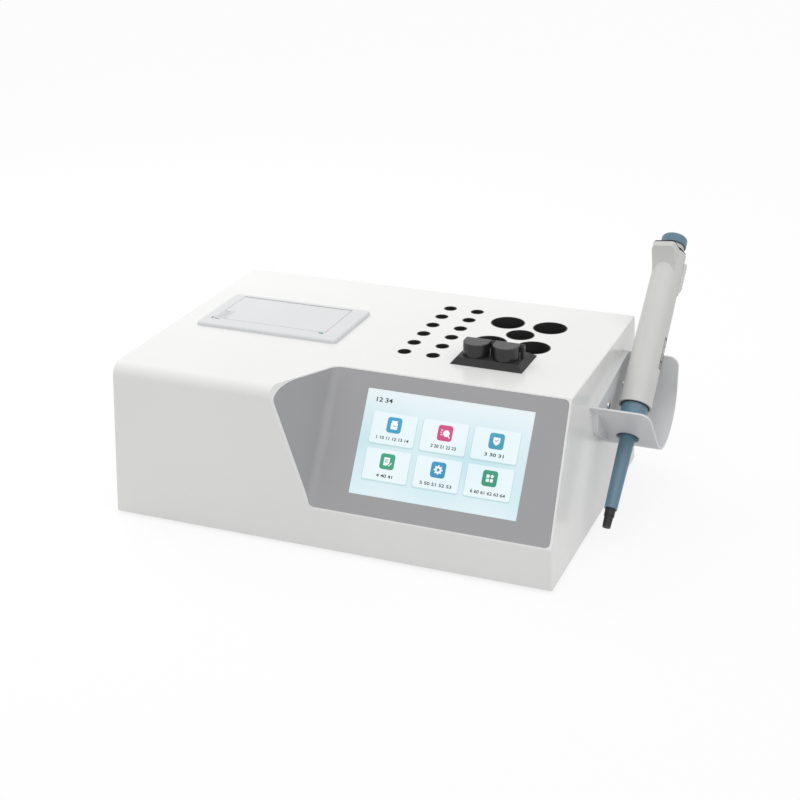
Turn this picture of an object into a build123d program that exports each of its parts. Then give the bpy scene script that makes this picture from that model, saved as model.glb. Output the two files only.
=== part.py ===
from build123d import *
import math
import os

# A bench coagulation analyzer, in millimetres.
# It is drawn from the casing's own corner: X runs right from the left top edge, Y runs back
# from the front face and Z runs up from the casing's lower rim. The written pieces are then
# moved so that the origin lies on the bench under the middle of the whole footprint.

# Fits and small fasteners
FIT_GAP = 0.3
PIN_GAP = 0.04
THREAD_GAP = 0.05
HOLE_GAP = 0.2
SCREW_RADIUS = 1.5
SCREW_HEAD_RADIUS = 3.0
SCREW_HEAD = 1.6
NUT_RADIUS = 3.1
NUT_HEIGHT = 2.4

# Casing
TOP_WIDTH = 350.0
DEPTH = 244.5
HEIGHT = 127.4
SIDE_FLARE = 6.2
WALL = 3.0
FRONT_ROUND = 10.0
SIDE_ROUND = 1.2
COLUMN_RADIUS = 5.0
COLUMN_INSET = 9.0
COLUMN_SETBACK = 14.0
RIB_THICKNESS = 2.0
RIB_LIFT = 2.0
PILOT_DEPTH = 16.0

# Slanted front with the grey bezel
PLINTH_HEIGHT = 33.0
PANEL_SETBACK = 58.4
PANEL_WIDTH = 186.5
PANEL_TOP_WIDTH = 218.5
FOLD_X = TOP_WIDTH - PANEL_WIDTH
FACET_TOP_X = TOP_WIDTH - PANEL_TOP_WIDTH
FOLD_ROUND = 9.0
BEZEL_THICKNESS = 2.5
BEZEL_SIDE_RIM = 1.6
BEZEL_EDGE_RIM = 0.9
BEZEL_GAP = 0.15
BEZEL_ROUNDS = (5.0, 3.6, 3.9, 9.0)
SCREEN_WIDTH = 132.5
SCREEN_MIDDLE_GAP = 91.25
SCREEN_LEFT = TOP_WIDTH - SCREEN_MIDDLE_GAP - SCREEN_WIDTH / 2
SCREEN_LOW = 16.35
SCREEN_HEIGHT = 81.4
SCREEN_SINK = 0.25
SCREEN_LEDGE = 4.0
DISPLAY_THICKNESS = 7.0
DISPLAY_LIP = 3.0
DISPLAY_SCREW_LENGTH = 6.0
BRACKET_THICKNESS = 1.2
BRACKET_REACH = 9.0
BRACKET_FRAME = 14.0
POST_RADIUS = 3.6
POST_ASIDE = 4.5
POST_INSET = 12.0

# Base pan and feet
PAN_THICKNESS = 1.5
PAN_FLANGE = 10.0
PAN_GAP = 0.4
CASE_SCREW_LENGTH = 12.0
FOOT_HEIGHT = 2.5
FOOT_RADIUS = 9.0
FOOT_INSET = 34.0
FOOT_CHAMFER = 0.5
FOOT_RECESS = 1.4
FOOT_SCREW_LENGTH = 8.0
FOOT_SCREW_HEAD = 1.1

# Wells and their heater blocks
CUVETTE_SIDE_GAP = 148.7
CUVETTE_LEFT = TOP_WIDTH - CUVETTE_SIDE_GAP
CUVETTE_FRONT = 103.3
CUVETTE_COLUMN_PITCH = 23.8
CUVETTE_ROW_PITCH = 21.0
CUVETTE_COLUMNS = 2
CUVETTE_ROWS = 6
CUVETTE_HOLE_RADIUS = 5.55
CUVETTE_DEPTH = 36.0
REAGENT_SIDE_GAP = 75.1
REAGENT_X = TOP_WIDTH - REAGENT_SIDE_GAP
REAGENT_Y = 169.4
REAGENT_STEP_X = 17.95
REAGENT_STEP_Y = 23.3
REAGENT_HOLE_RADIUS = 14.05
STIR_HOLE_RADIUS = 11.6
REAGENT_DEPTH = 42.0
SLEEVE_WALL = 0.8
SLEEVE_FLOOR = 2.0
SLEEVE_GAP = 0.1
BLOCK_WALL = 3.0
BLOCK_FLOOR = 4.0
PAD_THICKNESS = 1.6
PILLAR_RADIUS = 3.0
PILLAR_EDGE = 1.0
PILLAR_INSET = PILLAR_RADIUS + PILLAR_EDGE
SENSOR_RADIUS = 1.5
SENSOR_LENGTH = 12.0
SENSOR_PROUD = 3.0

# Black measuring block and its two caps
BLOCK_SIDE_GAP = 107.0
BLOCK_LEFT = TOP_WIDTH - BLOCK_SIDE_GAP
BLOCK_WIDTH = 58.0
BLOCK_FRONT = 91.5
BLOCK_DEPTH = 39.5
BLOCK_RISE = 5.0
BLOCK_CHAMFER = 4.3
BLOCK_BACK_CHAMFER = 8.0
BLOCK_BODY_DROP = 38.0
BLOCK_BODY_WIDTH = 49.0
BLOCK_BODY_FRONT = 93.0
BLOCK_BODY_DEPTH = 25.5
CHANNEL_INSET = 16.6
CHANNEL_PITCH = 23.8
CHANNEL_X = (BLOCK_LEFT + CHANNEL_INSET, BLOCK_LEFT + CHANNEL_INSET + CHANNEL_PITCH)
CHANNEL_Y = 102.2
CHANNEL_RADIUS = 4.6
CHANNEL_DEPTH = 30.0
CAP_WIDTH = 20.6
CAP_FRONT = 96.2
CAP_BACK = 114.5
CAP_HEIGHT = 10.6
CAP_EDGE = 0.6
CAP_CAVITY_RADIUS = 5.1
CAP_CAVITY_HEIGHT = 5.8
CAP_RIM = 0.8
CAP_HEEL_LIFT = 4.7
CAP_PIN_RADIUS = 0.8
CAP_PIN_REACH = 6.0
EAR_THICKNESS = 2.6
EAR_ROUND = 2.6
EAR_GAP = 0.3
OPTIC_RADIUS = 2.5
OPTIC_LENGTH = 7.0
OPTIC_DROP = 24.0
OPTIC_PROUD = 1.0
OPTIC_SETBACK = 0.5
OPTIC_BOARD_THICKNESS = 1.6
OPTIC_BOARD_INSET = 2.0
OPTIC_BOARD_HEIGHT = 16.0

# Printer
FRAME_LEFT = 20.0
FRAME_WIDTH = 124.5
FRAME_FRONT = 98.0
FRAME_DEPTH = 74.5
FRAME_RISE = 3.2
FRAME_ROUND = 2.0
FRAME_CORNER = 4.0
LID_LEFT = 31.0
LID_WIDTH = 98.5
LID_FRONT = 112.0
LID_DEPTH = 55.0
LID_THICKNESS = 2.4
LID_GAP = 0.4
LID_CORNER = 2.0
HINGE_INSET = 2.2
HINGE_BARREL_RADIUS = 2.1
HINGE_PIN_RADIUS = 0.8
HINGE_PIN_REACH = 7.0
HINGE_PIN_SEAT = 3.0
MARK_AHEAD = 1.8
MARK_ASIDE = 3.2
MARK_LENGTH = 8.5
MARK_BAR = 1.2
MARK_LEG = 1.6
MARK_LEG_LENGTH = 4.4
MARK_DEPTH = 1.6
LAMP_LENGTH = 4.4
LAMP_WIDTH = 1.8
LAMP_INSET = 2.5
LAMP_AHEAD = 2.2
LAMP_LIFT = 1.2
LAMP_PROUD = 0.2
RELEASE_WIDTH = 9.0
RELEASE_DEPTH = 18.0
RELEASE_HEIGHT = 5.2
RELEASE_TRAVEL = 2.0
RELEASE_STEM_RADIUS = 1.6
RELEASE_STEM_FLANGE = 0.8
RELEASE_STEM_END = 1.5
RELEASE_SHELF = 5.0
RELEASE_RIB_COUNT = 5
RELEASE_RIB_DEPTH = 0.5
RELEASE_RIB_LEFT = 1.2
RELEASE_RIB_RIGHT = 1.5
BAY_WALL = 1.8
BAY_SIDE_INSET = 0.6
BAY_FRONT_CLEAR = 2.7
BAY_DEPTH = 44.0
PLATEN_RADIUS = 4.0
PLATEN_SHAFT_RADIUS = 1.5
PLATEN_SHAFT_END = 1.0
PLATEN_DROP = 7.0
PLATEN_SETBACK = 4.6
PLATEN_EAR = 3.0
PLATEN_EAR_FRONT = 2.6
PLATEN_EAR_BACK = 4.0
PLATEN_SIDE_ROOM = 2.25
PLATEN_LENGTH = (LID_WIDTH - RELEASE_WIDTH - BAY_SIDE_INSET - BAY_WALL
                 - 2 * (PLATEN_EAR + FIT_GAP + PLATEN_SIDE_ROOM))
ROLL_RADIUS = 20.0
ROLL_PLAY = 0.5
ROLL_LENGTH = PLATEN_LENGTH - ROLL_PLAY
ROLL_CORE_RADIUS = 6.5
ROLL_SETBACK = 30.0
HEAD_THICKNESS = 1.9
HEAD_HEIGHT = 14.0
HEAD_GAP = 0.5
HEAD_FOOT_GAP = 0.1
HEAD_FOOT_INSET = 10.0

# Pipette holder on the right wall
HOLDER_REACH = 46.5
HOLDER_SHEET = 2.4
HOLDER_BASE = 4.6
HOLDER_ARC_Y = 170.0
HOLDER_ARC_Z = 86.3
HOLDER_ARC_RADIUS = 37.0
HOLDER_LIP_Z = 101.5
HOLDER_CORNER = 8.0
HOLDER_HOLE_RADIUS = 9.0
HOLDER_HOLE_UP = 8.0
HOLDER_PLATE_DROP = 1.0
HOLDER_PLATE_FRONT = 111.0
HOLDER_PLATE_TURN = 240.0
HOLDER_PLATE_ROUND = 8.0
HOLDER_SCREW_Y = (140.0, 188.0)
HOLDER_SCREW_Z = 90.0
HOLDER_SCREW_LENGTH = 8.0

# Pipette, measured up its own axis from the tip
PIPETTE_LEAN = 47.0
PIPETTE_TURN = -11.0
PIPETTE_SIDE_GAP = 24.0
NOZZLE_LENGTH = 15.0
NOZZLE_RADIUS = 3.2
NOZZLE_FLARE = 0.3
NOZZLE_STEP = 9.0
NOZZLE_STEP_RADIUS = 4.0
NOZZLE_ROD_RADIUS = 2.4
NOZZLE_BORE_RADIUS = 1.0
CARRIER_ROOM = 12.0
FLANGE_THICKNESS = 4.0
SLEEVE_END_RADIUS = 5.0
SLEEVE_TOP_RADIUS = 6.1
SLEEVE_SKIN = 0.8
COLLAR_START = 78.3
COLLAR_RADIUS = 10.4
COLLAR_INSERT = 4.0
COLLAR_EDGE = 1.0
HANDLE_START = 102.5
HANDLE_END = 240.5
HANDLE_LOW_RADIUS = 13.0
HANDLE_TOP_RADIUS = 12.0
HANDLE_CEILING = 5.0
HOOK_REACH = 20.5
HOOK_WIDTH = 19.0
HOOK_EDGE = 4.0
HOOK_DROP = 22.0
HOOK_ROOT = 7.0
HOOK_BEND = (14.2, 11.2)
HOOK_CORNER = 3.0
TOP_PLATE = 1.2
TOP_PLATE_INSET = 0.4
NECK_RADIUS = 5.0
NECK_DROP = 8.0
PLUNGER_RADIUS = 2.0
BUTTON_RADIUS = 10.5
BUTTON_HEIGHT = 8.0
BUTTON_TOP_ROUND = 2.2
BUTTON_LOW_ROUND = 0.8
BUTTON_STROKE = 6.0
EJECTOR_STROKE = 4.0
EJECTOR_TURN = 36.0
EJECTOR_LOW = 205.0
EJECTOR_HIGH = 234.0
EJECTOR_WIDTH = 8.0
EJECTOR_PROUD = 2.2
EJECTOR_EDGE = 1.2
EJECTOR_BUMP_LIFT = 4.0
EJECTOR_SLOT_DROP = 6.0
EJECTOR_ROD_RADIUS = 1.2
WINDOW_LOW = 136.0
WINDOW_HIGH = 164.0
WINDOW_WIDTH = 8.0
WINDOW_TURN = 10.0
WINDOW_RECESS = 1.2
WINDOW_THICKNESS = 0.7
WINDOW_GAP = 0.05

# Rear panel
REAR_LEFT = 40.0
REAR_WIDTH = 200.0
REAR_LOW = 16.0
REAR_HEIGHT = 72.0
REAR_THICKNESS = 1.5
REAR_OVERLAP = 5.0
REAR_SCREW_INSET = 4.0
REAR_SCREW_RISE = 10.0
REAR_SCREW_TAIL = 3.0
PORT_GAP = 0.1
VENT_ASIDE = 20.0
VENT_LEFT = REAR_LEFT + REAR_WIDTH + VENT_ASIDE
VENT_COUNT = 8
VENT_PITCH = 8.0
VENT_WIDTH = 3.0
VENT_LOW = 40.0
VENT_HIGH = 84.0

# Power inlet and switch
INLET_INSET = 22.0
INLET_X = REAR_LEFT + INLET_INSET
INLET_Z = 32.0
INLET_WIDTH = 27.0
INLET_HEIGHT = 19.6
INLET_DEPTH = 20.0
INLET_RIM = 2.0
INLET_SINK = 1.0
INLET_MOUTH_WIDTH = 24.0
INLET_MOUTH_HEIGHT = 16.0
INLET_FLOOR = 3.0
INLET_PINS = ((-7.0, -2.0), (0.0, 2.0), (7.0, -2.0))
INLET_PIN_WIDTH = 2.0
INLET_PIN_HEIGHT = 4.0
INLET_PIN_TAIL = 4.0
INLET_PIN_SINK = 5.0
SWITCH_Z = 62.0
SWITCH_WIDTH = 19.0
SWITCH_HEIGHT = 15.0
SWITCH_DEPTH = 14.0
SWITCH_RIM = 1.5
SWITCH_POCKET = 10.0
SWITCH_SIDE_WALL = 1.5
SWITCH_END_WALL = 1.0
ROCKER_THROW = 12.0
ROCKER_PIN_RADIUS = 1.0
ROCKER_PIN_SINK = 2.5
ROCKER_PIN_SEAT = 0.5
ROCKER_SIDE_GAP = 0.3
ROCKER_END_ROOM = 2.0
ROCKER_TAIL = 3.5
ROCKER_TAIL_HALF = 2.0
ROCKER_FACE = 0.5
ROCKER_MIDDLE = 0.8

# Fan
FAN_INSET = 35.0
FAN_X = REAR_LEFT + REAR_WIDTH - FAN_INSET
FAN_SIZE = 60.0
FAN_THICKNESS = 15.0
FAN_BORE_RADIUS = 28.0
FAN_HUB_RADIUS = 11.0
FAN_HUB_FLOOR = 3.0
FAN_ARM = 4.0
FAN_ARM_TURNS = (45.0, 135.0)
FAN_PIN_RADIUS = 1.5
FAN_PIN_LENGTH = 9.0
FAN_SCREW_REACH = 25.0
FAN_BLADES = 7
FAN_BLADE_TILT = 35.0
FAN_BLADE_CHORD = 10.0
FAN_BLADE_THICKNESS = 1.2
FAN_BLADE_SETBACK = 1.0
FAN_ROTOR_GAP = 0.5
FAN_TIP_GAP = 0.8
FAN_HUB_END = 1.5
FAN_BLADE_END = 1.0
GUARD_WIRE = 1.2
GUARD_RINGS = (12.0, 19.0, 26.0)
GUARD_RING_HALF = 0.8
GUARD_ARM = 2.0
GUARD_MIDDLE_RADIUS = 5.0
GUARD_EAR_RADIUS = 4.0

# Ports
PORT_Z = 34.0
SERIAL_INSET = 72.0
SERIAL_X = REAR_LEFT + SERIAL_INSET
SERIAL_FLANGE = (15.5, 6.2)
SERIAL_BODY = (8.8, 4.8)
SERIAL_CUT = (9.0, 5.0)
SERIAL_SHELL_TOP = 8.2
SERIAL_SHELL_LOW = 6.8
SERIAL_SHELL_HALF = 4.0
SERIAL_SHELL_REACH = 5.0
SERIAL_TAIL = 8.0
SERIAL_HOLES = 9
SERIAL_HOLE_PITCH = 1.37
SERIAL_HOLE_RADIUS = 0.5
SERIAL_ROW_HALF = 1.4
DATA_INSET = 102.0
DATA_X = REAR_LEFT + DATA_INSET
DATA_FLANGE = (9.0, 8.0)
DATA_BODY = (6.9, 6.4)
DATA_CUT = (7.0, 6.5)
DATA_MOUTH = (4.6, 4.4)
DATA_TONGUE = (2.8, 1.6)
DATA_TAIL = 10.0
DATA_MOUTH_DEPTH = 7.0
DATA_TONGUE_SINK = 0.5
DATA_PROUD = 1.2
FLANGE_SHEET = 1.0

# Electronics on the base pan
BOARD_WIDTH = 120.0
BOARD_ASIDE = 19.3
BOARD_LEFT = CUVETTE_LEFT - BOARD_ASIDE - BOARD_WIDTH
BOARD_FRONT = 50.0
BOARD_DEPTH = 104.0
BOARD_THICKNESS = 1.6
BOARD_SCREW_INSET = 5.0
BOARD_SCREW_TAIL = 4.0
STANDOFF_HEIGHT = 6.0
SOLDER_DEPTH = 0.5
# Each block on the board: its middle in X and Y, then its width, depth and height
BOARD_BLOCKS = (
    (30.0, 30.0, 22.0, 22.0, 3.0),
    (70.0, 26.0, 14.0, 20.0, 2.5),
    (34.0, 66.0, 30.0, 12.0, 10.0),
    (88.0, 60.0, 18.0, 18.0, 2.5),
    (92.0, 90.0, 24.0, 8.0, 9.0),
    (22.0, 92.0, 10.0, 10.0, 14.0),
)
SUPPLY_LEFT = 44.0
SUPPLY_WIDTH = 100.0
SUPPLY_FRONT = 160.0
SUPPLY_DEPTH = 50.0
SUPPLY_HEIGHT = 28.0
SUPPLY_LIFT = 5.0
SUPPLY_FOOT_INSET = 8.0
SUPPLY_SLOTS = 10
SUPPLY_SLOT_PITCH = 8.0
SUPPLY_SLOT_WIDTH = 3.0
SUPPLY_SLOT_INSET = 12.0
SUPPLY_SLOT_DEPTH = 2.0

# Worked out from the above
BIG = 3 * TOP_WIDTH
FULL_TURN = 360.0
RISE = HEIGHT - PLINTH_HEIGHT
SLOPE = math.hypot(PANEL_SETBACK, RISE)
PANEL_OUT = Vector(0, -RISE / SLOPE, PANEL_SETBACK / SLOPE)
PANEL_FOOT = Vector(FOLD_X, 0, PLINTH_HEIGHT)
FOLD_UP = Vector(0, PANEL_SETBACK, RISE)
FACET_OUT = FOLD_UP.cross(Vector(FACET_TOP_X - FOLD_X, 0, RISE)).normalized()
if FACET_OUT.X < 0:
    FACET_OUT = FACET_OUT * -1
PANEL = Plane(origin=(0, 0, PLINTH_HEIGHT), x_dir=(1, 0, 0), z_dir=PANEL_OUT)
INNER_TOP = HEIGHT - WALL
FRAME_TOP = HEIGHT + FRAME_RISE
PLATEAU = HEIGHT + BLOCK_RISE
LEAN = math.radians(PIPETTE_LEAN)
AXIS = Vector(0, math.sin(LEAN), math.cos(LEAN))
SLOPE_TURN = 0.75 * FULL_TURN - PIPETTE_LEAN
RIGHT_WALL_OUT = Vector(HEIGHT, 0, SIDE_FLARE).normalized()
RIGHT_WALL_EDGE = Vector(TOP_WIDTH, 0, HEIGHT)
HOLE_X = TOP_WIDTH + PIPETTE_SIDE_GAP
HOLDER_EDGE = TOP_WIDTH + HOLDER_REACH
BACK_FACE = DEPTH - WALL
REAR_INNER = BACK_FACE - REAR_THICKNESS
FAN_Z = REAR_LOW + REAR_HEIGHT / 2
FAN_FRONT = REAR_INNER - FAN_THICKNESS

pieces = {}


# Helpers

def block(x0, x1, y0, y1, z0, z1):
    """A plain box between two corners."""
    return Pos((x0 + x1) / 2, (y0 + y1) / 2, (z0 + z1) / 2) * Box(x1 - x0, y1 - y0, z1 - z0)


def rod_x(x0, x1, y, z, radius):
    return Pos((x0 + x1) / 2, y, z) * Rot(0, 90, 0) * Cylinder(radius, x1 - x0)


def rod_y(x, y0, y1, z, radius):
    return Pos(x, (y0 + y1) / 2, z) * Rot(90, 0, 0) * Cylinder(radius, y1 - y0)


def rod_z(x, y, z0, z1, radius):
    return Pos(x, y, (z0 + z1) / 2) * Cylinder(radius, z1 - z0)


def outline(points, rounds=()):
    """A closed flat outline. rounds lists corner numbers with their radii."""
    face = make_face(Polyline(*points, close=True))
    for number, radius in rounds:
        corner = face.vertices().sort_by_distance(Vector(*points[number], 0))[0]
        face = fillet(corner, radius)
    return face


def prism_x(points, x0, x1, rounds=()):
    """An outline in Y and Z, carried from x0 to x1."""
    plane = Plane(origin=(x0, 0, 0), x_dir=(0, 1, 0), z_dir=(1, 0, 0))
    return extrude(plane * outline(points, rounds), amount=x1 - x0)


def prism_y(points, y0, y1, rounds=()):
    """An outline in X and Z, carried from y0 to y1."""
    plane = Plane(origin=(0, y1, 0), x_dir=(1, 0, 0), z_dir=(0, -1, 0))
    return extrude(plane * outline(points, rounds), amount=y1 - y0)


def prism_z(points, z0, z1, rounds=()):
    """An outline in X and Y, carried from z0 to z1."""
    return extrude(Plane(origin=(0, 0, z0)) * outline(points, rounds), amount=z1 - z0)


def half_space(foot, out, depth):
    """Everything on the outer side of a plane that is moved inwards by depth."""
    plane = Plane(origin=foot - out * depth, z_dir=out)
    return extrude(plane * Rectangle(BIG, BIG), amount=BIG)


def panel_block(u0, u1, v0, v1, w0, w1):
    """A box on the slanted panel: u across, v up the slope, w outwards."""
    box = Pos((u0 + u1) / 2, (v0 + v1) / 2, (w0 + w1) / 2) * Box(u1 - u0, v1 - v0, w1 - w0)
    return PANEL * box


def biggest(shape):
    return shape.solids().sort_by(SortBy.VOLUME)[-1]


def nearest_edge(shape, point):
    return shape.edges().sort_by_distance(Vector(*point))[0]


def rim(shape, radius, z):
    """The circular edge of this radius at height z."""
    rings = shape.edges().filter_by(GeomType.CIRCLE)
    return min(rings, key=lambda ring: abs(ring.radius - radius) + abs(ring.arc_center.Z - z))


def group(shapes):
    """Several separate solids kept as one node."""
    return Compound([biggest(shape) for shape in shapes])


def wall_x(z):
    """X of the right wall's outer face at height z."""
    return TOP_WIDTH + SIDE_FLARE * (1 - z / HEIGHT)


def screw_z(x, y, z_head, length, up=True, head=SCREW_HEAD):
    """A pan-head screw. Its head lies outside z_head and its shank runs the other way."""
    turn = 1 if up else -1
    shank = rod_z(x, y, *sorted((z_head, z_head + turn * length)), SCREW_RADIUS)
    cap = rod_z(x, y, *sorted((z_head, z_head - turn * head)), SCREW_HEAD_RADIUS)
    return shank + cap


def nut(x, y, z):
    hexagon = Pos(x, y, z) * extrude(RegularPolygon(NUT_RADIUS, 6), amount=NUT_HEIGHT)
    return hexagon - rod_z(x, y, z - 1, z + NUT_HEIGHT + 1, SCREW_RADIUS + THREAD_GAP)


# Casing

def notch(depth):
    """The room in front of the slanted panel and its facet, made deeper by depth."""
    room = half_space(PANEL_FOOT, PANEL_OUT, depth) & half_space(PANEL_FOOT, FACET_OUT, depth)
    room = biggest(room)
    middle = PANEL_FOOT + FOLD_UP * 0.5
    fold = room.edges().filter_by(lambda edge: abs(edge.tangent_at(0.5).dot(FOLD_UP.normalized())) > 0.999)
    fold = fold.sort_by_distance(middle)[0]
    return biggest(fillet(fold, FOLD_ROUND + depth))


def bezel_window(gap):
    """The bezel's outline seen from the front, carried back through the panel."""
    low = PLINTH_HEIGHT + BEZEL_EDGE_RIM + gap
    high = HEIGHT - BEZEL_EDGE_RIM - gap

    def left(z):
        share = (z - PLINTH_HEIGHT) / RISE
        return FOLD_X + (FACET_TOP_X - FOLD_X) * share + BEZEL_EDGE_RIM + gap

    def right(z):
        return wall_x(z) - BEZEL_SIDE_RIM - gap

    points = [(left(low), low), (right(low), low), (right(high), high), (left(high), high)]
    return prism_y(points, -WALL, PANEL_SETBACK + 2 * WALL + BEZEL_THICKNESS, list(enumerate(BEZEL_ROUNDS)))


def screen_box(grow, w0, w1):
    return panel_block(
        SCREEN_LEFT - grow, SCREEN_LEFT + SCREEN_WIDTH + grow,
        SCREEN_LOW - grow, SCREEN_LOW + SCREEN_HEIGHT + grow, w0, w1)


def casing_outside():
    body = prism_y(
        [(-SIDE_FLARE, 0), (TOP_WIDTH + SIDE_FLARE, 0), (TOP_WIDTH, HEIGHT), (0, HEIGHT)], 0, DEPTH)
    body = fillet(nearest_edge(body, (TOP_WIDTH / 2, 0, HEIGHT)), FRONT_ROUND)
    for side in (0, -1):
        face = body.faces().sort_by(Axis.X)[side]
        edges = [edge for edge in face.edges() if edge.center().Z > 1.0]
        body = fillet(edges, SIDE_ROUND)
    return biggest(body)


def casing_inside():
    flare = SIDE_FLARE
    room = prism_y(
        [(WALL - flare, -1), (TOP_WIDTH + flare - WALL, -1),
         (TOP_WIDTH - WALL, INNER_TOP), (WALL, INNER_TOP)],
        WALL, DEPTH - WALL)
    room = fillet(nearest_edge(room, (TOP_WIDTH / 2, WALL, INNER_TOP)), FRONT_ROUND - WALL)
    return biggest(room - notch(BEZEL_THICKNESS + WALL))


def column_places():
    for x in (COLUMN_INSET, TOP_WIDTH - COLUMN_INSET):
        for y in (COLUMN_SETBACK, DEPTH - COLUMN_SETBACK):
            yield x, y


def foot_places():
    for x in (FOOT_INSET, TOP_WIDTH - FOOT_INSET):
        for y in (FOOT_INSET, DEPTH - FOOT_INSET):
            yield x, y


def cuvette_places():
    for column in range(CUVETTE_COLUMNS):
        for row in range(CUVETTE_ROWS):
            yield (CUVETTE_LEFT + column * CUVETTE_COLUMN_PITCH,
                   CUVETTE_FRONT + row * CUVETTE_ROW_PITCH)


def reagent_places():
    """Each reagent well's x, y and hole radius. The middle one is the stirred one."""
    for side in (-1, 1):
        for end in (-1, 1):
            yield (REAGENT_X + side * REAGENT_STEP_X, REAGENT_Y + end * REAGENT_STEP_Y,
                   REAGENT_HOLE_RADIUS)
    yield REAGENT_X, REAGENT_Y, STIR_HOLE_RADIUS


def bracket_posts():
    """Places of the posts beside the display, as u and v on the panel."""
    aside = DISPLAY_LIP + POST_ASIDE
    for u in (SCREEN_LEFT - aside, SCREEN_LEFT + SCREEN_WIDTH + aside):
        for v in (SCREEN_LOW + POST_INSET, SCREEN_LOW + SCREEN_HEIGHT - POST_INSET):
            yield u, v


def bay_box():
    """The printer bay's outer plan: left, right, front and back."""
    left = LID_LEFT + BAY_SIDE_INSET
    right = LID_LEFT + LID_WIDTH - BAY_SIDE_INSET
    front = LID_FRONT - BAY_FRONT_CLEAR - BAY_WALL
    back = LID_FRONT + LID_DEPTH + LID_GAP + BAY_WALL
    return left, right, front, back


def make_top_cover():
    inside = casing_inside()
    cover = casing_outside() - notch(0) - (notch(BEZEL_THICKNESS) & bezel_window(0)) - inside
    pilot_radius = SCREW_RADIUS + THREAD_GAP
    for x, y in column_places():
        column = rod_z(x, y, PAN_THICKNESS, HEIGHT - 1, COLUMN_RADIUS)
        wall = -SIDE_FLARE if x < TOP_WIDTH / 2 else TOP_WIDTH + SIDE_FLARE
        rib = block(*sorted((x, wall)), y - RIB_THICKNESS / 2, y + RIB_THICKNESS / 2,
                    PAN_FLANGE + RIB_LIFT, HEIGHT - 1)
        cover += (column + rib) & inside
    depth = BEZEL_THICKNESS + WALL
    middle = -depth - DISPLAY_THICKNESS / 2
    for u, v in bracket_posts():
        post = PANEL * Pos(u, v, middle + 0.5) * Cylinder(POST_RADIUS, DISPLAY_THICKNESS + 1)
        pilot = PANEL * Pos(u, v, middle) * Cylinder(pilot_radius, DISPLAY_THICKNESS)
        cover = cover + post - pilot
    for x, y in column_places():
        cover -= rod_z(x, y, 0, PILOT_DEPTH, pilot_radius)
    cover -= screen_box(-SCREEN_LEDGE, -depth - 1, 1)
    for x, y in cuvette_places():
        cover -= rod_z(x, y, INNER_TOP - 1, HEIGHT + 1, CUVETTE_HOLE_RADIUS)
    for x, y, radius in reagent_places():
        cover -= rod_z(x, y, INNER_TOP - 1, HEIGHT + 1, radius)
    front, back = bay_box()[2:]
    cover -= block(LID_LEFT - LID_GAP, LID_LEFT + LID_WIDTH + LID_GAP, front - FIT_GAP, back + FIT_GAP,
                   INNER_TOP - 1, HEIGHT + 1)
    left = block_body_left()
    cover -= block(left - FIT_GAP, left + BLOCK_BODY_WIDTH + FIT_GAP, BLOCK_BODY_FRONT - FIT_GAP,
                   BLOCK_BODY_FRONT + BLOCK_BODY_DEPTH + FIT_GAP, INNER_TOP - 1, HEIGHT + 1)
    cover -= block(REAR_LEFT, REAR_LEFT + REAR_WIDTH, BACK_FACE - 1, DEPTH + 1,
                   REAR_LOW, REAR_LOW + REAR_HEIGHT)
    for x, z in rear_screw_places():
        cover -= rod_y(x, BACK_FACE - 1, DEPTH + 1, z, pilot_radius)
    for y in HOLDER_SCREW_Y:
        cover -= wall_rod(y, HOLDER_SCREW_Z, -2 * WALL, WALL, pilot_radius)
    for index in range(VENT_COUNT):
        x = VENT_LEFT + index * VENT_PITCH
        cover -= block(x, x + VENT_WIDTH, BACK_FACE - 1, DEPTH + 1, VENT_LOW, VENT_HIGH)
    return biggest(cover)


def make_base_pan():
    edge = WALL + PAN_GAP
    left = edge - SIDE_FLARE * (1 - PAN_FLANGE / HEIGHT)
    right = TOP_WIDTH - left
    front, back = edge, DEPTH - edge
    thick = PAN_THICKNESS
    pan = block(left, right, front, back, 0, PAN_FLANGE)
    pan -= block(left + thick, right - thick, front + thick, back - thick, thick, PAN_FLANGE + 1)
    for x, y in [*column_places(), *foot_places()]:
        pan -= rod_z(x, y, -1, thick + 1, SCREW_RADIUS + HOLE_GAP)
    return biggest(pan)


def make_feet():
    feet, screws, nuts = [], [], []
    seat = FOOT_RECESS - FOOT_HEIGHT
    for x, y in foot_places():
        foot = rod_z(x, y, -FOOT_HEIGHT, 0, FOOT_RADIUS)
        foot = chamfer(rim(foot, FOOT_RADIUS, -FOOT_HEIGHT), FOOT_CHAMFER)
        foot -= rod_z(x, y, -FOOT_HEIGHT - 1, 1, SCREW_RADIUS + HOLE_GAP)
        foot -= rod_z(x, y, -FOOT_HEIGHT - 1, seat, SCREW_HEAD_RADIUS + HOLE_GAP)
        feet.append(foot)
        screws.append(screw_z(x, y, seat, FOOT_SCREW_LENGTH, head=FOOT_SCREW_HEAD))
        nuts.append(nut(x, y, PAN_THICKNESS))
    return group(feet), group(screws), group(nuts)


# Display

def make_bezel():
    shell = notch(BEZEL_THICKNESS) - notch(0)
    bezel = (shell & bezel_window(BEZEL_GAP)) - screen_box(0, -BEZEL_THICKNESS - 1, 5)
    return biggest(bezel)


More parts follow.
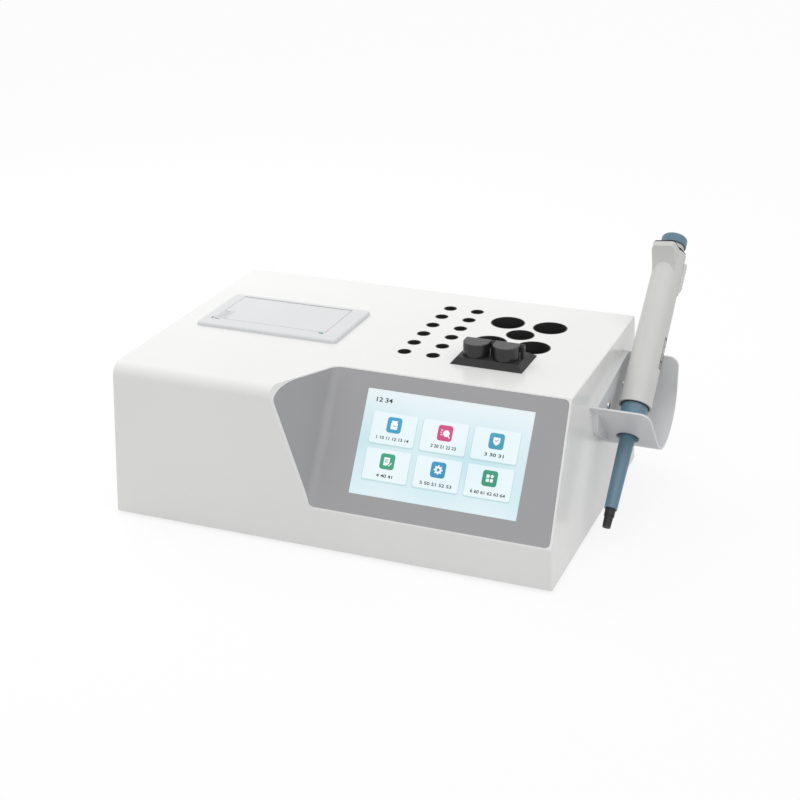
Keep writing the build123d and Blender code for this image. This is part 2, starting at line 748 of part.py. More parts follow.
def make_display():
    glass = screen_box(-BEZEL_GAP, -BEZEL_THICKNESS, -SCREEN_SINK)
    back = -BEZEL_THICKNESS - WALL
    module_back = back - DISPLAY_THICKNESS
    seat = module_back - BRACKET_THICKNESS
    module = screen_box(DISPLAY_LIP, module_back, back)
    module += screen_box(-SCREEN_LEDGE - FIT_GAP, back - 1, -BEZEL_THICKNESS - HOLE_GAP)
    bracket = screen_box(BRACKET_REACH, seat, module_back)
    bracket -= screen_box(-BRACKET_FRAME, seat - 1, 0)
    screws = []
    for u, v in bracket_posts():
        bracket -= PANEL * Pos(u, v, seat) * Cylinder(SCREW_RADIUS + HOLE_GAP, 4 * BRACKET_THICKNESS)
        shank = Pos(u, v, seat + DISPLAY_SCREW_LENGTH / 2) * Cylinder(SCREW_RADIUS, DISPLAY_SCREW_LENGTH)
        head = Pos(u, v, seat - SCREW_HEAD / 2) * Cylinder(SCREW_HEAD_RADIUS, SCREW_HEAD)
        screws.append(PANEL * (shank + head))
    pieces["touch_glass"] = glass
    pieces["display_module"] = biggest(module)
    pieces["display_bracket"] = biggest(bracket)
    pieces["display_screws"] = group(screws)


# Wells and their heater blocks

def cup(x, y, hole_radius, depth):
    outer = hole_radius - SLEEVE_GAP
    low = HEIGHT - depth - SLEEVE_FLOOR
    body = rod_z(x, y, low, HEIGHT, outer)
    return body - rod_z(x, y, HEIGHT - depth, HEIGHT + 1, outer - SLEEVE_WALL)


def heater(places, depth, name):
    """A block bored for its sleeves, with its pad, its sensor and its pillars."""
    places = list(places)
    low = HEIGHT - depth - SLEEVE_FLOOR
    bottom = low - BLOCK_FLOOR
    left = min(x - radius for x, y, radius in places) - BLOCK_WALL
    right = max(x + radius for x, y, radius in places) + BLOCK_WALL
    front = min(y - radius for x, y, radius in places) - BLOCK_WALL
    back = max(y + radius for x, y, radius in places) + BLOCK_WALL
    body = block(left, right, front, back, bottom, INNER_TOP)
    for x, y, radius in places:
        body -= rod_z(x, y, low, HEIGHT, radius)
    sensor_x = (left + right) / 2
    sensor_z = bottom + BLOCK_FLOOR / 2
    sensor_end = front + SENSOR_LENGTH
    body -= rod_y(sensor_x, front - 1, sensor_end, sensor_z, SENSOR_RADIUS)
    sensor = rod_y(sensor_x, front - SENSOR_PROUD, sensor_end, sensor_z, SENSOR_RADIUS)
    inset = PILLAR_INSET
    pad = block(left + 2 * inset, right - 2 * inset, front + 2 * inset, back - 2 * inset,
                bottom - PAD_THICKNESS, bottom)
    pillars = [rod_z(x, y, PAN_THICKNESS, bottom, PILLAR_RADIUS)
               for x in (left + inset, right - inset) for y in (front + inset, back - inset)]
    pieces[name + "_heater_block"] = biggest(body)
    return pad, sensor, pillars


def make_wells():
    cuvettes = [cup(x, y, CUVETTE_HOLE_RADIUS, CUVETTE_DEPTH) for x, y in cuvette_places()]
    reagents = [cup(x, y, radius, REAGENT_DEPTH) for x, y, radius in reagent_places()]
    pieces["cuvette_wells"] = group(cuvettes)
    pieces["reagent_wells"] = group(reagents)
    small = [(x, y, CUVETTE_HOLE_RADIUS) for x, y in cuvette_places()]
    pad_a, sensor_a, pillars_a = heater(small, CUVETTE_DEPTH, "cuvette")
    pad_b, sensor_b, pillars_b = heater(reagent_places(), REAGENT_DEPTH, "reagent")
    pieces["heater_pads"] = group([pad_a, pad_b])
    pieces["temperature_sensors"] = group([sensor_a, sensor_b])
    pieces["support_pillars"] = group([*pillars_a, *pillars_b])


# Measuring block, its optics and its caps

def block_body_left():
    return BLOCK_LEFT + (BLOCK_WIDTH - BLOCK_BODY_WIDTH) / 2


def hinge_y():
    return CAP_BACK - EAR_ROUND


def hinge_z():
    return PLATEAU + CAP_HEIGHT - EAR_ROUND


def ear_left(x):
    return x + CAP_WIDTH / 2 + EAR_GAP


def optic_z():
    return PLATEAU - OPTIC_DROP


def make_measuring_block():
    plan = [
        (BLOCK_LEFT, BLOCK_FRONT), (BLOCK_LEFT + BLOCK_WIDTH, BLOCK_FRONT),
        (BLOCK_LEFT + BLOCK_WIDTH, BLOCK_FRONT + BLOCK_DEPTH), (BLOCK_LEFT, BLOCK_FRONT + BLOCK_DEPTH)]
    side, back = BLOCK_CHAMFER, BLOCK_BACK_CHAMFER
    top = [
        (plan[0][0] + side, plan[0][1] + side), (plan[1][0] - side, plan[1][1] + side),
        (plan[2][0] - side, plan[2][1] - back), (plan[3][0] + side, plan[3][1] - back)]
    foot = Plane(origin=(0, 0, HEIGHT)) * outline(plan)
    plateau = Plane(origin=(0, 0, PLATEAU)) * outline(top)
    body = loft([foot, plateau], ruled=True)
    left = block_body_left()
    low = PLATEAU - BLOCK_BODY_DROP
    body += block(left, left + BLOCK_BODY_WIDTH, BLOCK_BODY_FRONT,
                  BLOCK_BODY_FRONT + BLOCK_BODY_DEPTH, low, HEIGHT + 1)
    for x in CHANNEL_X:
        ear = block(ear_left(x), ear_left(x) + EAR_THICKNESS, hinge_y() - EAR_ROUND,
                    hinge_y() + EAR_ROUND, PLATEAU - 1, hinge_z())
        ear += rod_x(ear_left(x), ear_left(x) + EAR_THICKNESS, hinge_y(), hinge_z(), EAR_ROUND)
        ear -= rod_x(ear_left(x) - 1, ear_left(x) + EAR_THICKNESS + 1, hinge_y(), hinge_z(),
                     CAP_PIN_RADIUS)
        body += ear
        body -= rod_z(x, CHANNEL_Y, PLATEAU - CHANNEL_DEPTH, PLATEAU + 1, CHANNEL_RADIUS)
        body -= rod_y(x, BLOCK_BODY_FRONT - 1, BLOCK_BODY_FRONT + BLOCK_BODY_DEPTH + 1, optic_z(),
                      OPTIC_RADIUS)
    pieces["measuring_block"] = biggest(body)


def make_optics():
    back = BLOCK_BODY_FRONT + BLOCK_BODY_DEPTH
    front = BLOCK_BODY_FRONT - OPTIC_PROUD
    front_end = CHANNEL_Y - CHANNEL_RADIUS - OPTIC_SETBACK
    back_end = back - OPTIC_LENGTH + OPTIC_PROUD
    emitters = [rod_y(x, front, front_end, optic_z(), OPTIC_RADIUS) for x in CHANNEL_X]
    detectors = [rod_y(x, back_end, back, optic_z(), OPTIC_RADIUS) for x in CHANNEL_X]
    pieces["light_emitters"] = group(emitters)
    pieces["light_detectors"] = group(detectors)
    left, half = block_body_left(), OPTIC_BOARD_HEIGHT / 2
    pieces["optics_board"] = block(
        left + OPTIC_BOARD_INSET, left + BLOCK_BODY_WIDTH - OPTIC_BOARD_INSET,
        back, back + OPTIC_BOARD_THICKNESS, optic_z() - half, optic_z() + half)


def make_cap(x):
    """One cap. Its heel is stepped up, so the open cap clears the well it covered."""
    half = CAP_WIDTH / 2
    low, high = PLATEAU + FIT_GAP, PLATEAU + CAP_HEIGHT
    arc_y = CAP_FRONT + half
    cap = block(x - half, x + half, arc_y, CAP_BACK, low, high) + rod_z(x, arc_y, low, high, half)
    cap = biggest(cap)
    top = cap.faces().sort_by(Axis.Z)[-1]
    cap = fillet([edge for edge in top.edges() if edge.center().Y < CAP_BACK - PIN_GAP], CAP_EDGE)
    heel_y = CHANNEL_Y + CAP_CAVITY_RADIUS + CAP_RIM
    heel_z = low + CAP_HEEL_LIFT
    side = [(CAP_FRONT - 1, low), (heel_y, low), (heel_y, heel_z), (CAP_BACK, heel_z),
            (CAP_BACK, high), (CAP_FRONT - 1, high)]
    cap = cap & prism_x(side, x - CAP_WIDTH, x + CAP_WIDTH, [(4, EAR_ROUND - FIT_GAP)])
    cap -= rod_z(x, CHANNEL_Y, low - 1, low + CAP_CAVITY_HEIGHT, CAP_CAVITY_RADIUS)
    cap -= rod_x(x + half - CAP_PIN_REACH - FIT_GAP, x + half + 1, hinge_y(), hinge_z(),
                 CAP_PIN_RADIUS + PIN_GAP)
    return biggest(cap)


def make_caps():
    pieces["left_channel_cap"] = make_cap(CHANNEL_X[0])
    pieces["right_channel_cap"] = make_cap(CHANNEL_X[1])
    pins = []
    for x in CHANNEL_X:
        inner = x + CAP_WIDTH / 2 - CAP_PIN_REACH
        pins.append(rod_x(inner, ear_left(x) + EAR_THICKNESS, hinge_y(), hinge_z(), CAP_PIN_RADIUS))
    pieces["hinge_pins"] = group(pins)


# Printer

def lid_hinge():
    return LID_FRONT + LID_DEPTH - HINGE_INSET, FRAME_TOP - HINGE_INSET


def platen_axis():
    return LID_FRONT + PLATEN_SETBACK, FRAME_TOP - PLATEN_DROP


def roll_axis():
    return LID_FRONT + ROLL_SETBACK, HEIGHT - BAY_DEPTH + BAY_WALL + ROLL_RADIUS + FIT_GAP


def make_printer_frame():
    left, right = FRAME_LEFT, FRAME_LEFT + FRAME_WIDTH
    front, back = FRAME_FRONT, FRAME_FRONT + FRAME_DEPTH
    plan = [(left, front), (right, front), (right, back), (left, back)]
    frame = prism_z(plan, HEIGHT, FRAME_TOP, [(corner, FRAME_CORNER) for corner in range(4)])
    frame = fillet(frame.faces().sort_by(Axis.Z)[-1].edges(), FRAME_ROUND)
    gap = LID_GAP
    frame -= block(LID_LEFT - gap, LID_LEFT + LID_WIDTH + gap, LID_FRONT - gap,
                   LID_FRONT + LID_DEPTH + gap, HEIGHT - 1, FRAME_TOP + 1)
    mark_x, mark_y = LID_LEFT - gap - MARK_ASIDE, LID_FRONT - gap - MARK_AHEAD
    mark_z = FRAME_TOP - MARK_DEPTH
    frame -= block(mark_x, mark_x + MARK_LENGTH, mark_y, mark_y + MARK_BAR, mark_z, FRAME_TOP + 1)
    frame -= block(mark_x, mark_x + MARK_LEG, mark_y, mark_y + MARK_LEG_LENGTH, mark_z, FRAME_TOP + 1)
    frame -= lamp_shape(THREAD_GAP, FRAME_TOP + 1)
    for pin in lid_pins():
        frame -= pin
    return biggest(frame)


def lid_pins():
    """Two short pins, seated in the frame's sides, that the lid turns on."""
    left, right = LID_LEFT, LID_LEFT + LID_WIDTH
    seat = LID_GAP + HINGE_PIN_SEAT
    return [rod_x(left - seat, left + HINGE_PIN_REACH, *lid_hinge(), HINGE_PIN_RADIUS),
            rod_x(right - HINGE_PIN_REACH, right + seat, *lid_hinge(), HINGE_PIN_RADIUS)]


def lamp_shape(gap, top):
    """The status lamp's small lozenge, by the lid's front right corner."""
    low = HEIGHT + LAMP_LIFT
    slot = SlotOverall(LAMP_LENGTH + 2 * gap, LAMP_WIDTH + 2 * gap)
    place = Pos(LID_LEFT + LID_WIDTH - LAMP_INSET, LID_FRONT - LID_GAP - LAMP_AHEAD, low)
    return place * extrude(slot, amount=top - low)


def make_printer_lid():
    left, right = LID_LEFT, LID_LEFT + LID_WIDTH
    front, back = LID_FRONT, LID_FRONT + LID_DEPTH
    low = FRAME_TOP - LID_THICKNESS
    notch_x, notch_y = left + RELEASE_WIDTH, front + RELEASE_DEPTH
    plan = [(notch_x, front), (right, front), (right, back), (left, back), (left, notch_y),
            (notch_x, notch_y)]
    lid = biggest(prism_z(plan, low, FRAME_TOP, [(1, LID_CORNER)]))
    lid = fillet(nearest_edge(lid, ((left + right) / 2, back, FRAME_TOP)), HINGE_BARREL_RADIUS)
    hinge = lid_hinge()
    reach = HINGE_PIN_REACH + FIT_GAP
    for x in (left, right - reach):
        lid += rod_x(x, x + reach, *hinge, HINGE_BARREL_RADIUS)
    for x0, x1 in ((left - 1, left + reach), (right - reach, right + 1)):
        lid -= rod_x(x0, x1, *hinge, HINGE_PIN_RADIUS + PIN_GAP)
    y, z = platen_axis()
    start = platen_start()
    for x in (start - PLATEN_EAR - FIT_GAP, start + PLATEN_LENGTH + FIT_GAP):
        ear = block(x, x + PLATEN_EAR, y - PLATEN_EAR_FRONT, y + PLATEN_EAR_BACK,
                    z - PLATEN_EAR_FRONT, low + THREAD_GAP)
        ear -= rod_x(x - 1, x + PLATEN_EAR + 1, y, z, PLATEN_SHAFT_RADIUS + PIN_GAP)
        lid += ear
    return biggest(lid)


def platen_start():
    """The roller lies midway between the release key and the bay's right wall."""
    room_left = LID_LEFT + RELEASE_WIDTH
    room_right = LID_LEFT + LID_WIDTH - BAY_SIDE_INSET - BAY_WALL
    return (room_left + room_right - PLATEN_LENGTH) / 2


def release_key(x, y, shelf_low):
    """The ribbed key with its stem, for a key whose stem stands at x, y."""
    low = FRAME_TOP - RELEASE_HEIGHT
    right, back = LID_LEFT + RELEASE_WIDTH - FIT_GAP, LID_FRONT + RELEASE_DEPTH - FIT_GAP
    stem_end = shelf_low - RELEASE_STEM_END
    key = block(LID_LEFT, right, LID_FRONT, back, low, FRAME_TOP)
    key += rod_z(x, y, stem_end, low + 1, RELEASE_STEM_RADIUS)
    key += rod_z(x, y, stem_end, shelf_low - FIT_GAP, RELEASE_STEM_RADIUS + RELEASE_STEM_FLANGE)
    rib = RELEASE_DEPTH / (2 * RELEASE_RIB_COUNT + 1)
    for index in range(RELEASE_RIB_COUNT):
        y0 = LID_FRONT + (2 * index + 1) * rib
        key -= block(LID_LEFT + RELEASE_RIB_LEFT, LID_LEFT + RELEASE_WIDTH - RELEASE_RIB_RIGHT,
                     y0, y0 + rib, FRAME_TOP - RELEASE_RIB_DEPTH, FRAME_TOP + 1)
    return biggest(key)


def make_printer():
    pieces["printer_frame"] = make_printer_frame()
    pieces["printer_lid"] = make_printer_lid()
    pieces["status_lamp"] = biggest(lamp_shape(0, FRAME_TOP + LAMP_PROUD))
    left, right, front, back = bay_box()
    floor_z = HEIGHT - BAY_DEPTH
    shelf_top = FRAME_TOP - RELEASE_HEIGHT - RELEASE_TRAVEL
    shelf_low = shelf_top - RELEASE_SHELF
    inner_front, inner_back = front + BAY_WALL, back - BAY_WALL
    bay = block(left, right, front, back, floor_z, HEIGHT)
    bay -= block(left + BAY_WALL, right - BAY_WALL, inner_front, inner_back, floor_z + BAY_WALL, HEIGHT + 1)
    bay -= block(left - 1, right + 1, inner_front, inner_back, shelf_top, HEIGHT + 1)
    key_x = (left + BAY_WALL + LID_LEFT + RELEASE_WIDTH) / 2
    key_y = LID_FRONT + (RELEASE_DEPTH - FIT_GAP) / 2
    bay += block(left, LID_LEFT + RELEASE_WIDTH, front, LID_FRONT + RELEASE_DEPTH, shelf_low, shelf_top)
    bay -= rod_z(key_x, key_y, shelf_low - 1, shelf_top + 1, RELEASE_STEM_RADIUS + THREAD_GAP)
    pieces["printer_bay"] = biggest(bay)
    pieces["lid_release"] = release_key(key_x, key_y, shelf_low)
    pieces["hinge_pins"] = group([*pieces["hinge_pins"].solids(), *lid_pins()])

    y, z = platen_axis()
    start, end = platen_start(), platen_start() + PLATEN_LENGTH
    shaft_reach = PLATEN_EAR + PLATEN_SHAFT_END
    platen = rod_x(start, end, y, z, PLATEN_RADIUS)
    platen += rod_x(start - shaft_reach, end + shaft_reach, y, z, PLATEN_SHAFT_RADIUS)
    pieces["platen_roller"] = biggest(platen)
    head_back = y - PLATEN_RADIUS - HEAD_GAP
    head_top = HEIGHT - FIT_GAP
    head_low = head_top - HEAD_HEIGHT
    head = block(start, end, head_back - HEAD_THICKNESS, head_back, head_low, head_top)
    head += block(start + HEAD_FOOT_INSET, end - HEAD_FOOT_INSET, inner_front, head_back - HEAD_FOOT_GAP,
                  head_low, head_top - HEAD_HEIGHT / 2)
    pieces["print_head"] = biggest(head)
    y, z = roll_axis()
    middle, half = (start + end) / 2, ROLL_LENGTH / 2
    roll = rod_x(middle - half, middle + half, y, z, ROLL_RADIUS)
    roll -= rod_x(middle - half - 1, middle + half + 1, y, z, ROLL_CORE_RADIUS)
    pieces["paper_roll"] = biggest(roll)


# Pipette holder

def holder_point(radius, turn):
    """A point of the holder's arc, by its radius and its angle from +Y."""
    angle = math.radians(turn)
    return (HOLDER_ARC_Y + radius * math.cos(angle), HOLDER_ARC_Z + radius * math.sin(angle))


def slope_point(radius, z):
    """Where the holder's slope, at this radius of its arc, reaches height z."""
    y0, z0 = holder_point(radius, SLOPE_TURN)
    along = (z - z0) / math.sin(LEAN)
    return (y0 - along * math.cos(LEAN), z)


def hole_centre():
    """The middle of the holder's hole, on the slope's upper face."""
    y0, z0 = holder_point(HOLDER_ARC_RADIUS - HOLDER_SHEET, SLOPE_TURN)
    return Vector(HOLE_X, y0 - HOLDER_HOLE_UP * math.cos(LEAN), z0 + HOLDER_HOLE_UP * math.sin(LEAN))


def pipette_tip():
    return hole_centre() - AXIS * (COLLAR_START - FIT_GAP)


def handle_radius(along):
    """The handle narrows a little from its lower rim to its top."""
    share = (along - HANDLE_START) / (HANDLE_END - HANDLE_START)
    return HANDLE_LOW_RADIUS + (HANDLE_TOP_RADIUS - HANDLE_LOW_RADIUS) * share


def back_wall_top():
    """The back wall ends under the handle, low enough for its wide rim to slide past."""
    tip = pipette_tip()
    along = (HOLDER_ARC_Y + HOLDER_ARC_RADIUS - HOLDER_SHEET - tip.Y) / math.sin(LEAN)
    clear = (HANDLE_LOW_RADIUS + FIT_GAP) / math.sin(LEAN)
    return tip.Z + along * math.cos(LEAN) - clear


def wall_rod(y, z, start, end, radius):
    """A rod square to the right wall, from start to end along the wall's normal."""
    foot = Vector(wall_x(z), y, z)
    plane = Plane(origin=foot, z_dir=RIGHT_WALL_OUT)
    return plane * Pos(0, 0, (start + end) / 2) * Cylinder(radius, end - start)


def holder_sheet(top):
    """The bent sheet: a slope, a round trough and a back wall that ends at top."""
    outer, inner = HOLDER_ARC_RADIUS, HOLDER_ARC_RADIUS - HOLDER_SHEET
    middle = (SLOPE_TURN + FULL_TURN) / 2
    back = HOLDER_ARC_Y
    lip_out, lip_in = slope_point(outer, HOLDER_LIP_Z), slope_point(inner, HOLDER_LIP_Z)

    def trough(radius):
        ends = [holder_point(radius, turn) for turn in (SLOPE_TURN, middle, FULL_TURN)]
        return ThreePointArc(*ends)

    sheet = make_face([
        Line(lip_in, lip_out),
        Line(lip_out, holder_point(outer, SLOPE_TURN)),
        trough(outer),
        Line(holder_point(outer, FULL_TURN), (back + outer, top)),
        Line((back + outer, top), (back + inner, top)),
        Line((back + inner, top), holder_point(inner, FULL_TURN)),
        trough(inner),
        Line(holder_point(inner, SLOPE_TURN), lip_in),
    ])
    plane = Plane(origin=(TOP_WIDTH - WALL, 0, 0), x_dir=(0, 1, 0), z_dir=(1, 0, 0))

    def corner_room(y0, y1, z):
        plan = [(TOP_WIDTH - WALL, 0), (HOLDER_EDGE, 0), (HOLDER_EDGE, z), (TOP_WIDTH - WALL, z)]
        return prism_y(plan, y0, y1, [(2, HOLDER_CORNER)])

    room = corner_room(0, HOLDER_ARC_Y, HOLDER_LIP_Z) + corner_room(HOLDER_ARC_Y, DEPTH, top)
    return biggest(extrude(plane * sheet, amount=WALL + HOLDER_REACH) & room)


def holder_plate(top):
    """The plate against the casing: its front edge stands out beyond the slope."""
    low_y, low_z = holder_point(HOLDER_ARC_RADIUS, HOLDER_PLATE_TURN)
    fall = math.tan(math.radians(0.75 * FULL_TURN - HOLDER_PLATE_TURN))
    front = HOLDER_PLATE_FRONT
    back = HOLDER_ARC_Y + HOLDER_ARC_RADIUS
    corner_z = low_z + (low_y - front) * fall
    front_top = HOLDER_LIP_Z - HOLDER_PLATE_DROP
    lip_y = slope_point(HOLDER_ARC_RADIUS - HOLDER_SHEET / 2, front_top)[0]
    side = [(lip_y, front_top), slope_point(HOLDER_ARC_RADIUS - HOLDER_SHEET, front_top - HOLDER_SHEET)]
    side += [(front, corner_z), (low_y, low_z), (HOLDER_ARC_Y, HOLDER_ARC_Z)]
    side += [(back, HOLDER_ARC_Z), (back, top)]
    left, right = TOP_WIDTH - WALL, HOLDER_EDGE
    plate = prism_x(side, left, right, [(2, HOLDER_PLATE_ROUND)])
    disc = rod_x(left, right, HOLDER_ARC_Y, HOLDER_ARC_Z, HOLDER_ARC_RADIUS)
    below = [(lip_y, 0), (back, 0), (back, top), (lip_y, front_top)]
    plate = plate + (disc & prism_x(below, left, right))
    return biggest(plate - half_space(RIGHT_WALL_EDGE, RIGHT_WALL_OUT, -HOLDER_BASE))


def make_holder():
    top = back_wall_top()
    outside = half_space(RIGHT_WALL_EDGE, RIGHT_WALL_OUT, 0)
    holder = biggest((holder_sheet(top) + holder_plate(top)) & outside)
    holder -= Plane(origin=hole_centre(), z_dir=AXIS) * Cylinder(HOLDER_HOLE_RADIUS, 4 * HOLDER_SHEET)
    screws = []
    for y in HOLDER_SCREW_Y:
        holder -= wall_rod(y, HOLDER_SCREW_Z, -1, HOLDER_BASE + 1, SCREW_RADIUS + HOLE_GAP)
        shank = wall_rod(y, HOLDER_SCREW_Z, HOLDER_BASE - HOLDER_SCREW_LENGTH, HOLDER_BASE, SCREW_RADIUS)
        head = wall_rod(y, HOLDER_SCREW_Z, HOLDER_BASE, HOLDER_BASE + SCREW_HEAD, SCREW_HEAD_RADIUS)
        screws.append(shank + head)
    pieces["pipette_holder"] = biggest(holder)
    pieces["holder_screws"] = group(screws)


# Pipette

def tube(start, end, outer, inner):
    """A straight tube on the pipette's axis."""
    middle = (start + end) / 2
    body = Pos(0, 0, middle) * Cylinder(outer, end - start)
    return body - Pos(0, 0, middle) * Cylinder(inner, end - start + 2)


def stick(start, end, radius):
    return Pos(0, 0, (start + end) / 2) * Cylinder(radius, end - start)


def taper(start, end, low_radius, high_radius):
    return Pos(0, 0, (start + end) / 2) * Cone(low_radius, high_radius, end - start)


def turned_block(turn, r0, r1, width, z0, z1):
    """A block that reaches from radius r0 to r1, turned about the axis."""
    box = Pos((r0 + r1) / 2, 0, (z0 + z1) / 2) * Box(r1 - r0, width, z1 - z0)
    return Rot(0, 0, turn) * box


def hook_plan(z0, z1, inset=0.0):
    """The plan of the handle's top with its finger hook, as a prism."""
    half = HOOK_WIDTH / 2 - inset
    tip = inset - HOOK_REACH
    points = [(-half, tip), (half, tip), (half, 0), (-half, 0)]
    return prism_z(points, z0, z1, [(0, HOOK_CORNER), (1, HOOK_CORNER)])


def make_handle():
    handle = taper(HANDLE_START, HANDLE_END, HANDLE_LOW_RADIUS, HANDLE_TOP_RADIUS)
    edge = HANDLE_END - HOOK_EDGE
    root = HANDLE_END - HOOK_DROP
    side = make_face([
        Line((0, HANDLE_END), (-HOOK_REACH, HANDLE_END)),
        Line((-HOOK_REACH, HANDLE_END), (-HOOK_REACH, edge)),
        ThreePointArc((-HOOK_REACH, edge), (-HOOK_BEND[0], HANDLE_END - HOOK_BEND[1]), (-HOOK_ROOT, root)),
        Line((-HOOK_ROOT, root), (0, root)),
        Line((0, root), (0, HANDLE_END)),
    ])
    plane = Plane(origin=(-HOOK_WIDTH, 0, 0), x_dir=(0, 1, 0), z_dir=(1, 0, 0))
    hook = extrude(plane * side, amount=2 * HOOK_WIDTH)
    hook = hook & hook_plan(HANDLE_START, HANDLE_END + 1)
    handle = biggest(handle + hook)
    handle -= stick(HANDLE_START - 1, HANDLE_END - HANDLE_CEILING, COLLAR_RADIUS)
    handle -= stick(HANDLE_START, HANDLE_END + 1, NECK_RADIUS + FIT_GAP)
    handle -= turned_block(
        EJECTOR_TURN, COLLAR_RADIUS - 3, HANDLE_LOW_RADIUS + 5, EJECTOR_WIDTH + 2 * FIT_GAP,
        EJECTOR_LOW - EJECTOR_STROKE - EJECTOR_SLOT_DROP, EJECTOR_HIGH + FIT_GAP)
    handle -= turned_block(
        WINDOW_TURN, handle_radius(WINDOW_HIGH) - WINDOW_RECESS, HANDLE_LOW_RADIUS + 2, WINDOW_WIDTH,
        WINDOW_LOW, WINDOW_HIGH)
    return biggest(handle)


def make_ejector_button():
    top_radius = handle_radius(EJECTOR_HIGH)
    proud = top_radius + EJECTOR_PROUD
    key = turned_block(EJECTOR_TURN, NECK_RADIUS, top_radius + FIT_GAP, EJECTOR_WIDTH,
                       EJECTOR_LOW, EJECTOR_HIGH)
    bump = turned_block(EJECTOR_TURN, COLLAR_RADIUS, proud, EJECTOR_WIDTH,
                        EJECTOR_LOW + EJECTOR_BUMP_LIFT, EJECTOR_HIGH)
    outer = [edge for edge in biggest(bump).edges()
             if math.hypot(edge.center().X, edge.center().Y) > proud - HOLE_GAP]
    bump = chamfer(outer, EJECTOR_EDGE)
    return key + bump - stick(EJECTOR_LOW - 1, EJECTOR_HIGH + 1, NECK_RADIUS + FIT_GAP)


def make_push_button(low):
    high = low + BUTTON_HEIGHT
    button = stick(low, high, BUTTON_RADIUS)
    button = fillet(rim(button, BUTTON_RADIUS, high), BUTTON_TOP_ROUND)
    return fillet(rim(button, BUTTON_RADIUS, low), BUTTON_LOW_ROUND)


def make_pipette():
    gap = FIT_GAP
    parts = {"pipette_handle": make_handle()}
    collar_end = HANDLE_START + COLLAR_INSERT
    collar = tube(COLLAR_START, collar_end, COLLAR_RADIUS, SLEEVE_TOP_RADIUS + gap)
    parts["pipette_collar"] = chamfer(rim(collar, COLLAR_RADIUS, COLLAR_START), COLLAR_EDGE)
    glass_inner = handle_radius(WINDOW_HIGH) - WINDOW_RECESS
    parts["volume_window"] = turned_block(
        WINDOW_TURN, glass_inner, glass_inner + WINDOW_THICKNESS, WINDOW_WIDTH - 2 * WINDOW_GAP,
        WINDOW_LOW + WINDOW_GAP, WINDOW_HIGH - WINDOW_GAP)
    plate_top = HANDLE_END + TOP_PLATE
    plate = hook_plan(HANDLE_END, plate_top, TOP_PLATE_INSET)
    plate += stick(HANDLE_END, plate_top, HANDLE_TOP_RADIUS - TOP_PLATE_INSET)
    parts["pipette_top_plate"] = plate - stick(HANDLE_END - 1, plate_top + 1, NECK_RADIUS + gap)

    flange = collar_end + EJECTOR_STROKE + 1
    flange_end = flange + FLANGE_THICKNESS
    carrier = flange + CARRIER_ROOM
    carrier_end = carrier + FLANGE_THICKNESS
    rod_place = Rot(0, 0, EJECTOR_TURN) * Pos(COLLAR_RADIUS - 3, 0, 0)
    nozzle = taper(0, NOZZLE_STEP, NOZZLE_RADIUS, NOZZLE_RADIUS + NOZZLE_FLARE)
    nozzle += stick(NOZZLE_STEP, NOZZLE_LENGTH, NOZZLE_STEP_RADIUS)
    nozzle += stick(NOZZLE_LENGTH, carrier, NOZZLE_ROD_RADIUS)
    nozzle += stick(carrier, carrier_end, COLLAR_RADIUS)
    nozzle -= rod_place * stick(carrier - 1, carrier_end + 1, EJECTOR_ROD_RADIUS + gap)
    nozzle -= stick(-1, NOZZLE_LENGTH, NOZZLE_BORE_RADIUS)
    parts["pipette_nozzle"] = nozzle

    outer = taper(NOZZLE_LENGTH, COLLAR_START, SLEEVE_END_RADIUS, SLEEVE_TOP_RADIUS)
    outer += stick(COLLAR_START, flange, SLEEVE_TOP_RADIUS)
    outer += stick(flange, flange_end, COLLAR_RADIUS - gap)
    bore = SLEEVE_TOP_RADIUS - SLEEVE_SKIN
    inner = taper(NOZZLE_LENGTH, COLLAR_START, SLEEVE_END_RADIUS - SLEEVE_SKIN, bore)
    inner += stick(COLLAR_START, flange_end + 1, bore)
    parts["ejector_sleeve"] = outer - inner
    parts["ejector_button"] = make_ejector_button()
    parts["ejector_rod"] = rod_place * stick(flange_end, EJECTOR_LOW, EJECTOR_ROD_RADIUS)

    button_low = plate_top + BUTTON_STROKE + gap
    neck_low = EJECTOR_LOW - NECK_DROP
    parts["push_button"] = make_push_button(button_low)
    rod = stick(carrier_end + BUTTON_STROKE + PLUNGER_RADIUS, neck_low, PLUNGER_RADIUS)
    parts["plunger_rod"] = rod + stick(neck_low, button_low, NECK_RADIUS)

    place = Plane(origin=pipette_tip(), x_dir=(1, 0, 0), z_dir=AXIS) * Rot(0, 0, PIPETTE_TURN)
    for name, part in parts.items():
        pieces[name] = biggest(place * part)


# Rear panel and its fittings

def rear_screw_places():
    aside = REAR_SCREW_INSET
    for x in (REAR_LEFT - aside, REAR_LEFT + REAR_WIDTH + aside):
        for z in (REAR_LOW + REAR_SCREW_RISE, REAR_LOW + REAR_HEIGHT - REAR_SCREW_RISE):
            yield x, z


def fan_screw_places():
    for x in (FAN_X - FAN_SCREW_REACH, FAN_X + FAN_SCREW_REACH):
        for z in (FAN_Z - FAN_SCREW_REACH, FAN_Z + FAN_SCREW_REACH):
            yield x, z


def centred(x, half_x, y0, y1, z, half_z):
    """A box about x and z, from y0 to y1."""
    return block(x - half_x, x + half_x, y0, y1, z - half_z, z + half_z)


